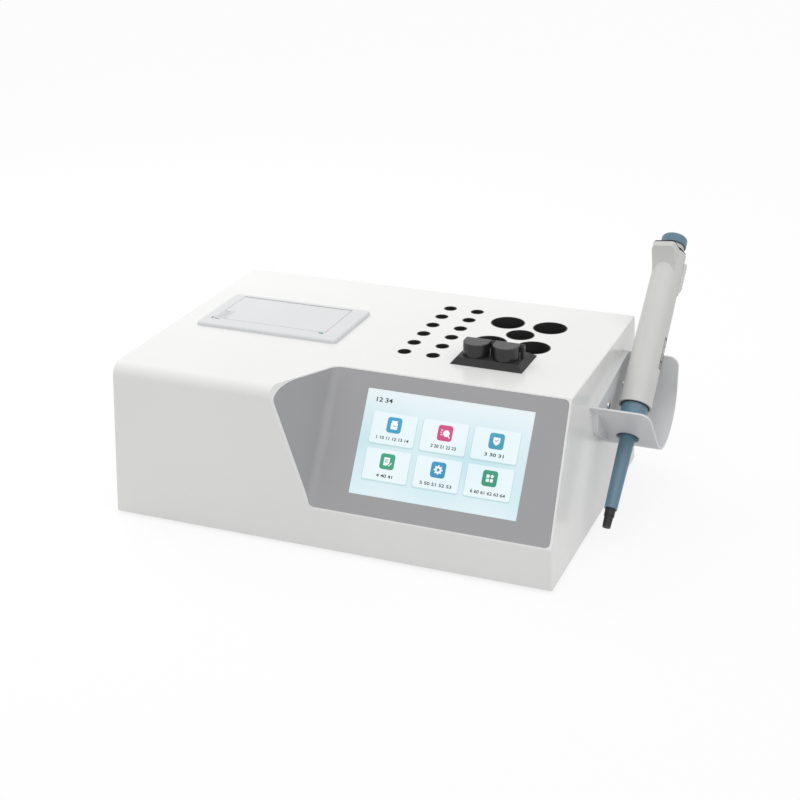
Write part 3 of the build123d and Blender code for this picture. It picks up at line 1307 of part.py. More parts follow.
def make_rear_panel():
    over = REAR_OVERLAP
    inner, outer = REAR_INNER, BACK_FACE
    panel = block(REAR_LEFT - 2 * over, REAR_LEFT + REAR_WIDTH + 2 * over, inner, outer,
                  REAR_LOW - over / 2, REAR_LOW + REAR_HEIGHT + over)
    cuts = [
        (INLET_X, INLET_WIDTH / 2 + PORT_GAP, INLET_Z, INLET_HEIGHT / 2 + PORT_GAP),
        (INLET_X, SWITCH_WIDTH / 2 + PORT_GAP, SWITCH_Z, SWITCH_HEIGHT / 2 + PORT_GAP),
        (SERIAL_X, SERIAL_CUT[0], PORT_Z, SERIAL_CUT[1]),
        (DATA_X, DATA_CUT[0], PORT_Z, DATA_CUT[1]),
    ]
    for x, half_x, z, half_z in cuts:
        panel -= centred(x, half_x, inner - 1, outer + 1, z, half_z)
    panel -= rod_y(FAN_X, inner - 1, outer + 1, FAN_Z, FAN_BORE_RADIUS)
    for x, z in [*rear_screw_places(), *fan_screw_places()]:
        panel -= rod_y(x, inner - 1, outer + 1, z, SCREW_RADIUS + HOLE_GAP)
    pieces["rear_panel"] = biggest(panel)
    screws = []
    for x, z in rear_screw_places():
        shank = rod_y(x, inner - REAR_SCREW_TAIL, DEPTH, z, SCREW_RADIUS)
        screws.append(shank + rod_y(x, DEPTH, DEPTH + SCREW_HEAD, z, SCREW_HEAD_RADIUS))
    seat = outer + GUARD_WIRE
    for x, z in fan_screw_places():
        shank = rod_y(x, FAN_FRONT, seat, z, SCREW_RADIUS)
        screws.append(shank + rod_y(x, seat, seat + SCREW_HEAD, z, SCREW_HEAD_RADIUS))
    pieces["rear_screws"] = group(screws)


def make_inlet():
    x, z, outer = INLET_X, INLET_Z, BACK_FACE
    half_w, half_h = INLET_WIDTH / 2, INLET_HEIGHT / 2
    back = outer - INLET_DEPTH
    inlet = centred(x, half_w, back, outer + INLET_SINK, z, half_h)
    inlet += centred(x, half_w + INLET_RIM, outer, outer + INLET_RIM, z, half_h + INLET_RIM)
    inlet -= centred(x, INLET_MOUTH_WIDTH / 2, back + INLET_FLOOR, outer + INLET_RIM + 1,
                     z, INLET_MOUTH_HEIGHT / 2)
    pins = []
    for pin_x, pin_z in INLET_PINS:
        pin = centred(x + pin_x, INLET_PIN_WIDTH / 2, back - INLET_PIN_TAIL, outer - INLET_PIN_SINK,
                      z + pin_z, INLET_PIN_HEIGHT / 2)
        pins.append(pin)
        inlet -= pin
    pieces["power_inlet"] = biggest(inlet)
    pieces["inlet_pins"] = group(pins)


def make_switch():
    x, z, outer = INLET_X, SWITCH_Z, BACK_FACE
    half_w, half_h = SWITCH_WIDTH / 2, SWITCH_HEIGHT / 2
    pin_y = outer - ROCKER_PIN_SINK
    seat = half_w - ROCKER_PIN_SEAT
    frame = centred(x, half_w, outer - SWITCH_DEPTH, outer + SWITCH_RIM, z, half_h)
    frame += centred(x, half_w + SWITCH_RIM, outer, outer + SWITCH_RIM, z, half_h + SWITCH_RIM)
    frame -= centred(x, half_w - SWITCH_SIDE_WALL, outer - SWITCH_POCKET, outer + SWITCH_RIM + 1,
                     z, half_h - SWITCH_END_WALL)
    frame -= rod_x(x - seat, x + seat, pin_y, z, ROCKER_PIN_RADIUS + PIN_GAP)
    pieces["switch_frame"] = biggest(frame)
    reach = half_h - ROCKER_END_ROOM
    swing = math.tan(math.radians(ROCKER_THROW / 2)) * reach
    face = outer + ROCKER_FACE
    side = [
        (pin_y - ROCKER_TAIL, z - ROCKER_TAIL_HALF),
        (pin_y - ROCKER_TAIL, z + ROCKER_TAIL_HALF),
        (face + 2 * swing, z + reach),
        (outer + ROCKER_MIDDLE, z),
        (face, z - reach),
    ]
    half = half_w - SWITCH_SIDE_WALL - ROCKER_SIDE_GAP
    rocker = prism_x(side, x - half, x + half)
    rocker += rod_x(x - seat + PORT_GAP, x + seat - PORT_GAP, pin_y, z, ROCKER_PIN_RADIUS)
    pieces["power_rocker"] = biggest(rocker)


def make_fan():
    inner, front = REAR_INNER, FAN_FRONT
    half = FAN_SIZE / 2
    pin_end = front + FAN_PIN_LENGTH
    frame = centred(FAN_X, half, front, inner, FAN_Z, half)
    frame -= rod_y(FAN_X, front - 1, inner + 1, FAN_Z, FAN_BORE_RADIUS)
    floor = front + FAN_HUB_FLOOR
    frame += rod_y(FAN_X, front, floor, FAN_Z, FAN_HUB_RADIUS)
    for turn in FAN_ARM_TURNS:
        place = Pos(FAN_X, (front + floor) / 2, FAN_Z) * Rot(0, turn, 0)
        frame += place * Box(2 * FAN_BORE_RADIUS + 2, FAN_HUB_FLOOR, FAN_ARM)
    frame += rod_y(FAN_X, front, pin_end, FAN_Z, FAN_PIN_RADIUS)
    for x, z in fan_screw_places():
        frame -= rod_y(x, front - 1, inner + 1, z, SCREW_RADIUS + THREAD_GAP)
    pieces["fan_frame"] = biggest(frame)

    start = floor + FAN_ROTOR_GAP
    rotor = rod_y(FAN_X, start, inner - FAN_HUB_END, FAN_Z, FAN_HUB_RADIUS)
    blade_middle = (FAN_HUB_RADIUS + FAN_BORE_RADIUS) / 2 - 1
    blade_y = (front + inner) / 2 + FAN_BLADE_SETBACK
    for index in range(FAN_BLADES):
        blade = Box(FAN_BORE_RADIUS - FAN_HUB_RADIUS, FAN_BLADE_THICKNESS, FAN_BLADE_CHORD)
        place = Pos(FAN_X, blade_y, FAN_Z) * Rot(0, FULL_TURN / FAN_BLADES * index, 0)
        rotor += place * Pos(blade_middle, 0, 0) * Rot(FAN_BLADE_TILT, 0, 0) * blade
    rotor &= rod_y(FAN_X, start, inner - FAN_BLADE_END, FAN_Z, FAN_BORE_RADIUS - FAN_TIP_GAP)
    rotor -= rod_y(FAN_X, floor, pin_end + FAN_ROTOR_GAP, FAN_Z, FAN_PIN_RADIUS + PIN_GAP)
    pieces["fan_rotor"] = biggest(rotor)


def make_guard():
    outer, top = BACK_FACE, BACK_FACE + GUARD_WIRE
    guard = rod_y(FAN_X, outer, top, FAN_Z, GUARD_MIDDLE_RADIUS)
    for radius in GUARD_RINGS:
        ring = rod_y(FAN_X, outer, top, FAN_Z, radius + GUARD_RING_HALF)
        guard += ring - rod_y(FAN_X, outer - 1, top + 1, FAN_Z, radius - GUARD_RING_HALF)
    arm_length = 2 * math.hypot(FAN_SCREW_REACH, FAN_SCREW_REACH)
    for turn in FAN_ARM_TURNS:
        place = Pos(FAN_X, (outer + top) / 2, FAN_Z) * Rot(0, turn, 0)
        guard += place * Box(arm_length, GUARD_WIRE, GUARD_ARM)
    for x, z in fan_screw_places():
        guard += rod_y(x, outer, top, z, GUARD_EAR_RADIUS)
        guard -= rod_y(x, outer - 1, top + 1, z, SCREW_RADIUS + HOLE_GAP)
    pieces["fan_guard"] = biggest(guard)


def make_ports():
    inner, outer = REAR_INNER, BACK_FACE
    sheet = outer + FLANGE_SHEET
    x, z = SERIAL_X, PORT_Z
    serial = centred(x, SERIAL_FLANGE[0], outer, sheet, z, SERIAL_FLANGE[1])
    serial += centred(x, SERIAL_BODY[0], inner - SERIAL_TAIL, sheet, z, SERIAL_BODY[1])
    wide, narrow, half = SERIAL_SHELL_TOP, SERIAL_SHELL_LOW, SERIAL_SHELL_HALF
    shell = [(x - wide, z + half), (x - narrow, z - half), (x + narrow, z - half), (x + wide, z + half)]
    serial += prism_y(shell, sheet, sheet + SERIAL_SHELL_REACH)
    first_x = x - SERIAL_HOLE_PITCH * (SERIAL_HOLES - 1) / 2
    for index in range(SERIAL_HOLES):
        hole_z = z - SERIAL_ROW_HALF if index % 2 else z + SERIAL_ROW_HALF
        serial -= rod_y(first_x + index * SERIAL_HOLE_PITCH, sheet + 1, sheet + SERIAL_SHELL_REACH + 1,
                        hole_z, SERIAL_HOLE_RADIUS)
    pieces["serial_port"] = biggest(serial)

    x = DATA_X
    data = centred(x, DATA_BODY[0], inner - DATA_TAIL, outer + DATA_PROUD, z, DATA_BODY[1])
    data += centred(x, DATA_FLANGE[0], outer, sheet, z, DATA_FLANGE[1])
    mouth = outer - DATA_MOUTH_DEPTH
    data -= centred(x, DATA_MOUTH[0], mouth, outer + DATA_PROUD + 1, z, DATA_MOUTH[1])
    data += centred(x, DATA_TONGUE[0], mouth - 1, outer - DATA_TONGUE_SINK, z, DATA_TONGUE[1])
    pieces["data_port"] = biggest(data)


# Electronics

def make_board():
    right, back = BOARD_LEFT + BOARD_WIDTH, BOARD_FRONT + BOARD_DEPTH
    low = PAN_THICKNESS + STANDOFF_HEIGHT
    top = low + BOARD_THICKNESS
    board = block(BOARD_LEFT, right, BOARD_FRONT, back, low, top)
    for x, y, width, depth, height in BOARD_BLOCKS:
        middle_x, middle_y = BOARD_LEFT + x, BOARD_FRONT + y
        board += block(middle_x - width / 2, middle_x + width / 2, middle_y - depth / 2,
                       middle_y + depth / 2, top - SOLDER_DEPTH, top + height)
    standoffs, screws = [], []
    inset = BOARD_SCREW_INSET
    for x in (BOARD_LEFT + inset, right - inset):
        for y in (BOARD_FRONT + inset, back - inset):
            board -= rod_z(x, y, low - 1, top + 1, SCREW_RADIUS + HOLE_GAP)
            post = rod_z(x, y, PAN_THICKNESS, low, PILLAR_RADIUS)
            standoffs.append(post - rod_z(x, y, PAN_THICKNESS + 1, low + 1, SCREW_RADIUS + THREAD_GAP))
            screws.append(screw_z(x, y, top, BOARD_THICKNESS + BOARD_SCREW_TAIL, up=False))
    pieces["main_board"] = biggest(board)
    pieces["board_standoffs"] = group(standoffs)
    pieces["board_screws"] = group(screws)


def make_supply():
    right, back = SUPPLY_LEFT + SUPPLY_WIDTH, SUPPLY_FRONT + SUPPLY_DEPTH
    low = PAN_THICKNESS + SUPPLY_LIFT
    top = low + SUPPLY_HEIGHT
    supply = block(SUPPLY_LEFT, right, SUPPLY_FRONT, back, low, top)
    inset = SUPPLY_FOOT_INSET
    for x in (SUPPLY_LEFT + inset, right - inset):
        for y in (SUPPLY_FRONT + inset, back - inset):
            supply += rod_z(x, y, PAN_THICKNESS, low + 1, PILLAR_RADIUS)
    inset = SUPPLY_SLOT_INSET
    for index in range(SUPPLY_SLOTS):
        x = SUPPLY_LEFT + inset + index * SUPPLY_SLOT_PITCH
        supply -= block(x, x + SUPPLY_SLOT_WIDTH, SUPPLY_FRONT + inset, back - inset,
                        top - SUPPLY_SLOT_DEPTH, top + 1)
    pieces["power_supply"] = biggest(supply)


def make_case_screws():
    screws = [screw_z(x, y, 0, CASE_SCREW_LENGTH) for x, y in column_places()]
    pieces["case_screws"] = group(screws)


# Build and write

def build():
    pieces["top_cover"] = make_top_cover()
    pieces["base_pan"] = make_base_pan()
    pieces["rubber_feet"], pieces["foot_screws"], pieces["foot_nuts"] = make_feet()
    make_case_screws()
    pieces["screen_bezel"] = make_bezel()
    make_display()
    make_wells()
    make_measuring_block()
    make_optics()
    make_caps()
    make_printer()
    make_holder()
    make_pipette()
    make_rear_panel()
    make_inlet()
    make_switch()
    make_fan()
    make_guard()
    make_ports()
    make_board()
    make_supply()


def origin():
    """The middle of the footprint, on the bench, in the casing's own measure."""
    tip = pipette_tip()
    round_end = HANDLE_END + TOP_PLATE + BUTTON_STROKE + FIT_GAP + BUTTON_HEIGHT - BUTTON_TOP_ROUND
    button_y = round_end * AXIS.Y + (BUTTON_RADIUS - BUTTON_TOP_ROUND) * AXIS.Z + BUTTON_TOP_ROUND
    middle_x = (HOLDER_EDGE - SIDE_FLARE) / 2
    return Vector(middle_x, (tip.Y + button_y) / 2, -FOOT_HEIGHT)


build()
os.makedirs("parts", exist_ok=True)
shift = origin() * -1
print("origin in the casing's measure", origin())
for name, shape in pieces.items():
    export_step(Pos(*shift) * shape, "parts/" + name + ".step")
print(len(pieces), "nodes written")
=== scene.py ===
# %% [markdown]
# # Dressing a bench coagulation analyzer
# A coagulation analyzer warms blood samples and times how long they take to clot. This one is
# a white plastic casing with a slanted touch screen, a small printer, rows of warming wells,
# two measuring channels under black caps and a pipette parked in a holder on its side.
# The shapes come from a measured model. This lesson gives every part its finish, adds the
# small things that the measured model leaves plain, and lights the whole for a photograph.

# %% Load the measured parts
import math

import bmesh
import bpy
from mathutils import Matrix, Vector


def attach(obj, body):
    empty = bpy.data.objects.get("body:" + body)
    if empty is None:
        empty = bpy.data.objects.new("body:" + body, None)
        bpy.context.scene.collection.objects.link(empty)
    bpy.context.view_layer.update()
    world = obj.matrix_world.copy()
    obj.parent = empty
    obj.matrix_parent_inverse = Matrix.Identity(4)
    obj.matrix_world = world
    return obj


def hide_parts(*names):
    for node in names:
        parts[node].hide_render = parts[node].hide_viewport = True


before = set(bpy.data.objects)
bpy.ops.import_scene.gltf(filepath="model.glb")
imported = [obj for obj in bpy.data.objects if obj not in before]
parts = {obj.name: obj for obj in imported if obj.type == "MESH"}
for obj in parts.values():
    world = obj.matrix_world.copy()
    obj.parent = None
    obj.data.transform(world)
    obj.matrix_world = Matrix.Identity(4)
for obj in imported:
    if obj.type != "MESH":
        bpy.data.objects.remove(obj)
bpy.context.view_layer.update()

# %% [markdown]
# ## Where things are
# The casing is measured in millimetres from the left end of its top edge: X to the right,
# Y to the back and Z up from its lower rim. The model's own origin lies on the bench under
# the middle of the footprint, so one small function turns the one into the other.
# The slanted screen and the leaning pipette each get a frame of their own, because it is
# easier to draw flat, or upright, and then to lay the piece in its place.

# %% Places in the casing's own measure
MM = 0.001
CORNER = Vector((-195.15, -137.836, 2.5))
RIGHT, BACK, DOWN = (1, 0, 0), (0, 1, 0), (0, 0, -1)
PANEL_LOW_EDGE, PANEL_OUT = (0, 0, 33.0), (0, -94.4, 58.4)
PIPETTE_FOOT, PIPETTE_LEAN, PIPETTE_TURN = (374.0, 82.194, 15.358), math.radians(47.0), -11.0


def spot(x, y, z):
    """A point given in the casing's millimetres, in metres in the model's frame."""
    return (Vector((x, y, z)) + CORNER) * MM


def shift(x, y, z):
    """A move in millimetres."""
    return Matrix.Translation(Vector((x, y, z)) * MM)


def turned(degrees, axis="Z"):
    """A turn in degrees."""
    return Matrix.Rotation(math.radians(degrees), 4, axis)


def placed(point, across, out):
    """A place at a point, with its X across and its Z outwards."""
    across, out = Vector(across).normalized(), Vector(out).normalized()
    turn = Matrix((across, out.cross(across), out)).transposed().to_4x4()
    return Matrix.Translation(point) @ turn


casing = shift(*CORNER)
panel = placed(spot(*PANEL_LOW_EDGE), RIGHT, PANEL_OUT)
pipette_out = (0, math.sin(PIPETTE_LEAN), math.cos(PIPETTE_LEAN))
pipette = placed(spot(*PIPETTE_FOOT), RIGHT, pipette_out) @ turned(PIPETTE_TURN)
print("the panel faces", [round(part, 3) for part in panel.col[2][:3]])

# %% [markdown]
# ## The camera
# The place, the turn and the lens were worked out from the photograph by matching known
# points of the casing. A long lens stands well back and looks down by about 23 degrees
# from the front right, so that the front, the top and the right wall all show.

# %% Camera
CAMERA_SPOT, CAMERA_AROUND, CAMERA_DOWN, CAMERA_ROLL = (632.7, -981.891, 585.74), 21.865, 23.163, -0.434
LENS_MM, FILM_MM, FARTHEST = 72.21, 36.0, 50.0

view = bpy.data.cameras.new("photo_camera")
view.lens, view.sensor_width, view.clip_end = LENS_MM, FILM_MM, FARTHEST
camera = bpy.data.objects.new("photo_camera", view)
bpy.context.scene.collection.objects.link(camera)
aim = turned(CAMERA_AROUND) @ turned(90.0 - CAMERA_DOWN, "X") @ turned(CAMERA_ROLL)
camera.matrix_world = Matrix.Translation(spot(*CAMERA_SPOT)) @ aim
bpy.context.scene.camera = camera
print("camera at", [round(part, 3) for part in camera.location], "lens", view.lens)

# %% [markdown]
# ## Two faces for the room
# The room around a product has two jobs that pull apart. It lights the object, which wants a
# moderate level, and it is what the camera, a mirror and clear plastic look at, which is
# plain white in such a photograph. The kind of ray tells which of the two is asked for, so a
# chain of mixes can answer each kind in its own way. The world and the floor both use it.

# %% Shaders that answer by the kind of ray
LOOKING_RAYS = ("Is Camera Ray", "Is Glossy Ray", "Is Transmission Ray")


def plain(tree, kind, grey):
    """A shader of one grey."""
    shader = tree.nodes.new(kind)
    shader.inputs["Color"].default_value = (grey, grey, grey, 1.0)
    return shader


def mixed(tree, share, first, second):
    """Two shaders mixed by a share, a number or a node's output."""
    mix = tree.nodes.new("ShaderNodeMixShader")
    if isinstance(share, float):
        mix.inputs[0].default_value = share
    else:
        tree.links.new(share, mix.inputs[0])
    tree.links.new(first.outputs[0], mix.inputs[1])
    tree.links.new(second.outputs[0], mix.inputs[2])
    return mix


def two_faced(tree, lighting, shown):
    """One shader that lights the object, and another for all that looks at it."""
    rays = tree.nodes.new("ShaderNodeLightPath")
    for ray in LOOKING_RAYS:
        lighting = mixed(tree, rays.outputs[ray], lighting, shown)
    return lighting


print("answers by", len(LOOKING_RAYS), "kinds of ray")

# %% [markdown]
# ## Studio light
# A product photograph of a white object wants light from all sides and a little more from
# above. The world gives the even part, and a wide sun over the front right makes the top the
# brightest face. A big softbox stands to the upper left, so the top fades a little towards
# the right.

# %% World, sun and softbox
EVEN_LIGHT, WHITE = 0.58, 1.0
SUN_LIGHT, SUN_WIDTH, SUN_TURN = 1.0, math.radians(75), (0.35, 0.30, 0.0)
SOFTBOX_LIGHT, SOFTBOX_SIZE, SOFTBOX_SPOT = 2.7, 0.7, Vector((-0.62, 0.30, 0.85))

bpy.context.scene.view_settings.view_transform = "Standard"
world = bpy.data.worlds.new("studio")
bpy.context.scene.world = world
world.use_nodes = True
sky = world.node_tree
sky.nodes.clear()
even = plain(sky, "ShaderNodeBackground", WHITE)
even.inputs["Strength"].default_value = EVEN_LIGHT
white = plain(sky, "ShaderNodeBackground", WHITE)
white.inputs["Strength"].default_value = WHITE
output = sky.nodes.new("ShaderNodeOutputWorld")
sky.links.new(two_faced(sky, even, white).outputs[0], output.inputs[0])

bpy.ops.object.light_add(type="SUN", location=(0.0, 0.0, 2.0), rotation=SUN_TURN)
sun = bpy.context.object
sun.name = "overhead_sun"
sun.data.energy, sun.data.angle = SUN_LIGHT, SUN_WIDTH
bpy.ops.object.light_add(type="AREA", location=SOFTBOX_SPOT,
                         rotation=(-SOFTBOX_SPOT).to_track_quat("-Z", "Y").to_euler())
softbox = bpy.context.object
softbox.name = "left_softbox"
softbox.data.energy, softbox.data.size = SOFTBOX_LIGHT, SOFTBOX_SIZE
softbox.visible_glossy = False
print("even light", EVEN_LIGHT, "sun", SUN_LIGHT, "softbox", SOFTBOX_LIGHT)

# %% [markdown]
# ## The floor
# A big disc under the object. It throws a moderate light back up on the walls. The camera, a
# mirror and clear plastic see it as a white table that still takes the object's soft shadow:
# most of that white is a glow, and the rest is a bright surface on which a shadow can fall.

# %% Floor
FLOOR_RADIUS, FLOOR_GREY, TABLE_WHITE, TABLE_GLOW = 9.0, 0.70, 0.98, 0.82

bpy.ops.object.select_all(action="DESELECT")
bpy.ops.mesh.primitive_circle_add(vertices=96, radius=FLOOR_RADIUS, fill_type="NGON",
                                  location=(0, 0, 0))
floor = bpy.context.object
floor.name = "table_top"
table = bpy.data.materials.new("white table")
table.use_nodes = True
surface = table.node_tree
surface.nodes.clear()
glowing = mixed(surface, TABLE_GLOW, plain(surface, "ShaderNodeBsdfDiffuse", TABLE_WHITE),
                plain(surface, "ShaderNodeEmission", WHITE))
layers = two_faced(surface, plain(surface, "ShaderNodeBsdfDiffuse", FLOOR_GREY), glowing)
output = surface.nodes.new("ShaderNodeOutputMaterial")
surface.links.new(layers.outputs[0], output.inputs["Surface"])
floor.data.materials.append(table)
print("floor radius", FLOOR_RADIUS)

# %% [markdown]
# ## What a finish is made of
# Moulded plastic is never one flat colour. Seen close it has a fine grain from its mould,
# and seen from afar its tone drifts a little. One noise makes the drift of the tone, and a
# much finer one makes the grain, which shows both as tiny bumps and as a changing gloss.
# Everything reads object coordinates, so the grain has a true size in millimetres.

# %% Colours and noises
def tone(red, green, blue):
    """A colour as a paint program writes it, turned into the linear one that light needs."""
    shares = [value / 255.0 for value in (red, green, blue)]
    return [share / 12.92 if share < 0.04045 else ((share + 0.055) / 1.055) ** 2.4
            for share in shares] + [1.0]


def noise(tree, place, size_mm, detail):
    """A noise whose blobs are about size_mm wide."""
    speckle = tree.nodes.new("ShaderNodeTexNoise")
    speckle.inputs["Scale"].default_value = 1.0 / (size_mm * MM)
    speckle.inputs["Detail"].default_value = detail
    tree.links.new(place, speckle.inputs["Vector"])
    return speckle.outputs["Fac"]


def stretched(tree, source, low, high):
    """Carry a noise, most of which lies from a quarter to three quarters, to its own range."""
    stretch = tree.nodes.new("ShaderNodeMapRange")
    for end, value in (("From Min", 0.25), ("From Max", 0.75), ("To Min", low), ("To Max", high)):
        stretch.inputs[end].default_value = value
    tree.links.new(source, stretch.inputs["Value"])
    return stretch.outputs["Result"]


def blended(tree, share, first, second):
    """Two colours, or two colour outputs, mixed by a share."""
    mix = tree.nodes.new("ShaderNodeMix")
    mix.data_type = "RGBA"
    tree.links.new(share, mix.inputs["Factor"])
    for colour, value in ((mix.inputs["A"], first), (mix.inputs["B"], second)):
        if isinstance(value, list):
            colour.default_value = value
        else:
            tree.links.new(value, colour)
    return mix.outputs["Result"]


print("a mid grey of 128 is", round(tone(128, 128, 128)[0], 3), "in linear light")

# %% [markdown]
# ## One recipe for every finish
# Each finish is described by its colour, how rough it is, how far its tone drifts and over
# what patch, and how wide and deep its grain is. Squeezing the coordinates along one
# direction turns the round blobs of the noise into streaks, which milled metal needs.

# %% A finish with drift and grain
PATCH_DETAIL, GRAIN_DETAIL = 2.0, 3.0


def finish(name, colour, rough, drift, patch_mm, grain_mm, bump_mm, spread=0.05, squeeze=None):
    """A material with a drifting tone, a grain of real size and a gloss that follows it."""
    material = bpy.data.materials.new(name)
    material.use_nodes = True
    tree = material.node_tree
    shader = tree.nodes["Principled BSDF"]
    place = tree.nodes.new("ShaderNodeTexCoord").outputs["Object"]
    if squeeze:
        mapping = tree.nodes.new("ShaderNodeMapping")
        mapping.inputs["Scale"].default_value = squeeze
        tree.links.new(place, mapping.inputs["Vector"])
        place = mapping.outputs["Vector"]
    middle = tone(*colour)[:3]
    darker = [part * (1.0 - drift) for part in middle] + [1.0]
    lighter = [min(part * (1.0 + drift), 1.0) for part in middle] + [1.0]
    share = stretched(tree, noise(tree, place, patch_mm, PATCH_DETAIL), 0.0, 1.0)
    tree.links.new(blended(tree, share, darker, lighter), shader.inputs["Base Color"])
    grain = noise(tree, place, grain_mm, GRAIN_DETAIL)
    gloss = stretched(tree, grain, rough - spread, rough + spread)
    tree.links.new(gloss, shader.inputs["Roughness"])
    bump = tree.nodes.new("ShaderNodeBump")
    bump.inputs["Strength"].default_value = 1.0
    bump.inputs["Distance"].default_value = bump_mm * MM
    tree.links.new(grain, bump.inputs["Height"])
    tree.links.new(bump.outputs["Normal"], shader.inputs["Normal"])
    return material


def socket(material, name, value):
    """Set a value that is the same all over on the shader itself."""
    material.node_tree.nodes["Principled BSDF"].inputs[name].default_value = value


finishes = {}
print("a finish has a drift of", PATCH_DETAIL, "and a grain of", GRAIN_DETAIL, "octaves")

# %% [markdown]
# ## White and grey plastics
# The casing is injection-moulded ABS with a high gloss: the black block even mirrors in it
# softly. The printer is a bought-in unit in a slightly greyer, duller white. The bezel is
# sprayed a satin grey and the pipette a warm white. The holder is a grey moulding with a
# matt finish, set lighter than its own grey as painted light, to make up for the light that
# it misses down beside the casing.

# %% Plastics of the casing, the printer, the bezel and the pipette
finishes["casing_white"] = finish(
    "gloss white ABS", (238, 238, 237), rough=0.24, drift=0.012, patch_mm=90.0,
    grain_mm=1.2, bump_mm=0.002, spread=0.03)
finishes["printer_white"] = finish(
    "printer white", (218, 219, 220), rough=0.38, drift=0.012, patch_mm=40.0,
    grain_mm=0.5, bump_mm=0.006)
finishes["bezel_grey"] = finish(
    "sprayed grey", (164, 164, 166), rough=0.42, drift=0.02, patch_mm=60.0,
    grain_mm=0.35, bump_mm=0.005)
# Painted light: the holder's grey is set lighter than its own, for the light that it misses down beside
# the casing.
finishes["holder_grey"] = finish(
    "matt grey moulding with painted light", (219, 220, 221), rough=0.45, drift=0.02, patch_mm=30.0,
    grain_mm=0.5, bump_mm=0.006)
finishes["pipette_white"] = finish(
    "pipette white", (208, 208, 205), rough=0.36, drift=0.015, patch_mm=30.0,
    grain_mm=0.6, bump_mm=0.003)
finishes["pipette_blue"] = finish(
    "slate blue", (98, 129, 147), rough=0.34, drift=0.03, patch_mm=18.0,
    grain_mm=0.5, bump_mm=0.004)
finishes["pan_grey"] = finish(
    "powder-coated steel", (178, 180, 182), rough=0.55, drift=0.03, patch_mm=30.0,
    grain_mm=0.7, bump_mm=0.02)
print(len(finishes), "plastics and paints")

# %% [markdown]
# ## Blacks
# Black plastic is dark grey when written honestly. The caps have more gloss than the block
# below them, so their flat tops mirror some of the white room at a low angle, and a darker
# colour makes up for it. The wells are anodized sleeves, and the dark that shows in them is
# mostly the shade down there.

# %% Blacks and rubber
finishes["black_plastic"] = finish(
    "black plastic", (44, 44, 45), rough=0.5, drift=0.08, patch_mm=12.0,
    grain_mm=0.4, bump_mm=0.008)
finishes["cap_grey"] = finish(
    "cap plastic", (37, 37, 38), rough=0.3, drift=0.08, patch_mm=10.0,
    grain_mm=0.4, bump_mm=0.008)
finishes["well_black"] = finish(
    "black anodized sleeve", (44, 44, 45), rough=0.5, drift=0.1, patch_mm=6.0,
    grain_mm=0.3, bump_mm=0.006)
finishes["foot_rubber"] = finish(
    "foot rubber", (42, 42, 42), rough=0.8, drift=0.12, patch_mm=4.0,
    grain_mm=0.3, bump_mm=0.03)
finishes["detector_dark"] = finish(
    "detector package", (40, 38, 48), rough=0.3, drift=0.1, patch_mm=3.0,
    grain_mm=0.3, bump_mm=0.005)
socket(finishes["black_plastic"], "Specular IOR Level", 0.28)
print(len(finishes), "finishes with the blacks")

# %% [markdown]
# ## Metals
# Steel screws and pins are plated, so they are bright with a very fine grain. The heater
# blocks are milled aluminium: their noise is squeezed along one direction, and that turns
# round blobs into the long streaks that a cutter leaves.

# %% Steel and aluminium
metals = {
    "plated_steel": finish("plated steel", (200, 200, 202), rough=0.28, drift=0.05,
                           patch_mm=3.0, grain_mm=0.15, bump_mm=0.002),
    "pin_steel": finish("pin steel", (205, 205, 208), rough=0.22, drift=0.04,
                        patch_mm=3.0, grain_mm=0.2, bump_mm=0.002),
    "block_aluminium": finish("milled aluminium", (205, 207, 210), rough=0.34, drift=0.05,
                              patch_mm=20.0, grain_mm=0.5, bump_mm=0.006, spread=0.08,
                              squeeze=(0.08, 1.0, 1.0)),
    "contact_gold": finish("contact gold", (226, 190, 110), rough=0.25, drift=0.04,
                           patch_mm=3.0, grain_mm=0.2, bump_mm=0.002),
}
for metal in metals.values():
    socket(metal, "Metallic", 1.0)
finishes.update(metals)
print(len(metals), "metals")

# %% [markdown]
# ## Paper, clear plastic, circuit board and lamp
# Thermal paper is smooth and warm white with a trace of its fibres. The light emitters are
# clear plastic, made mostly see-through, and the volume window is smoked plastic with a high
# gloss. The board is green lacquer over copper, which shows through as a strong drift of its
# tone. The lamp is a small teal lens that glows a little.

# %% The remaining finishes
finishes["paper_white"] = finish(
    "thermal paper", (238, 237, 232), rough=0.6, drift=0.02, patch_mm=6.0,
    grain_mm=0.12, bump_mm=0.004)
finishes["pad_orange"] = finish(
    "heater film", (190, 120, 52), rough=0.35, drift=0.08, patch_mm=8.0,
    grain_mm=0.5, bump_mm=0.01)
finishes["board_green"] = finish(
    "board lacquer", (38, 112, 70), rough=0.35, drift=0.35, patch_mm=3.0,
    grain_mm=0.6, bump_mm=0.02)
finishes["emitter_clear"] = finish(
    "emitter lens", (214, 222, 230), rough=0.12, drift=0.04, patch_mm=3.0,
    grain_mm=0.5, bump_mm=0.001)
finishes["window_clear"] = finish(
    "window plastic", (58, 62, 66), rough=0.12, drift=0.06, patch_mm=6.0,
    grain_mm=0.5, bump_mm=0.001, spread=0.03)
finishes["lamp_green"] = finish(
    "lamp lens", (38, 132, 118), rough=0.2, drift=0.08, patch_mm=1.5,
    grain_mm=0.3, bump_mm=0.002, spread=0.03)
socket(finishes["emitter_clear"], "Transmission Weight", 0.6)
socket(finishes["lamp_green"], "Emission Color", tone(60, 190, 165))
socket(finishes["lamp_green"], "Emission Strength", 0.12)
print(len(finishes), "finishes so far")

# %% [markdown]
# ## The lit display
# Behind the touch glass the display shows a pale cyan page. Its tone runs from nearly white
# at the top to a light cyan in the middle and back, with slow clouds in it. A display sheds
# light of its own, so the same colours also feed a weak emission. The cards, the icons and
# the signs on them are lit by the same display, so they are made by the same recipe.

# %% A lit colour on the slanted panel
SCREEN_LEFT, SCREEN_LOW, SCREEN_HIGH, GLASS = 192.5, 16.35, 97.75, -0.25
CLOUD_MM, CLOUD_DETAIL, CLOUD_SHARE = 45.0, 0.0, 0.55


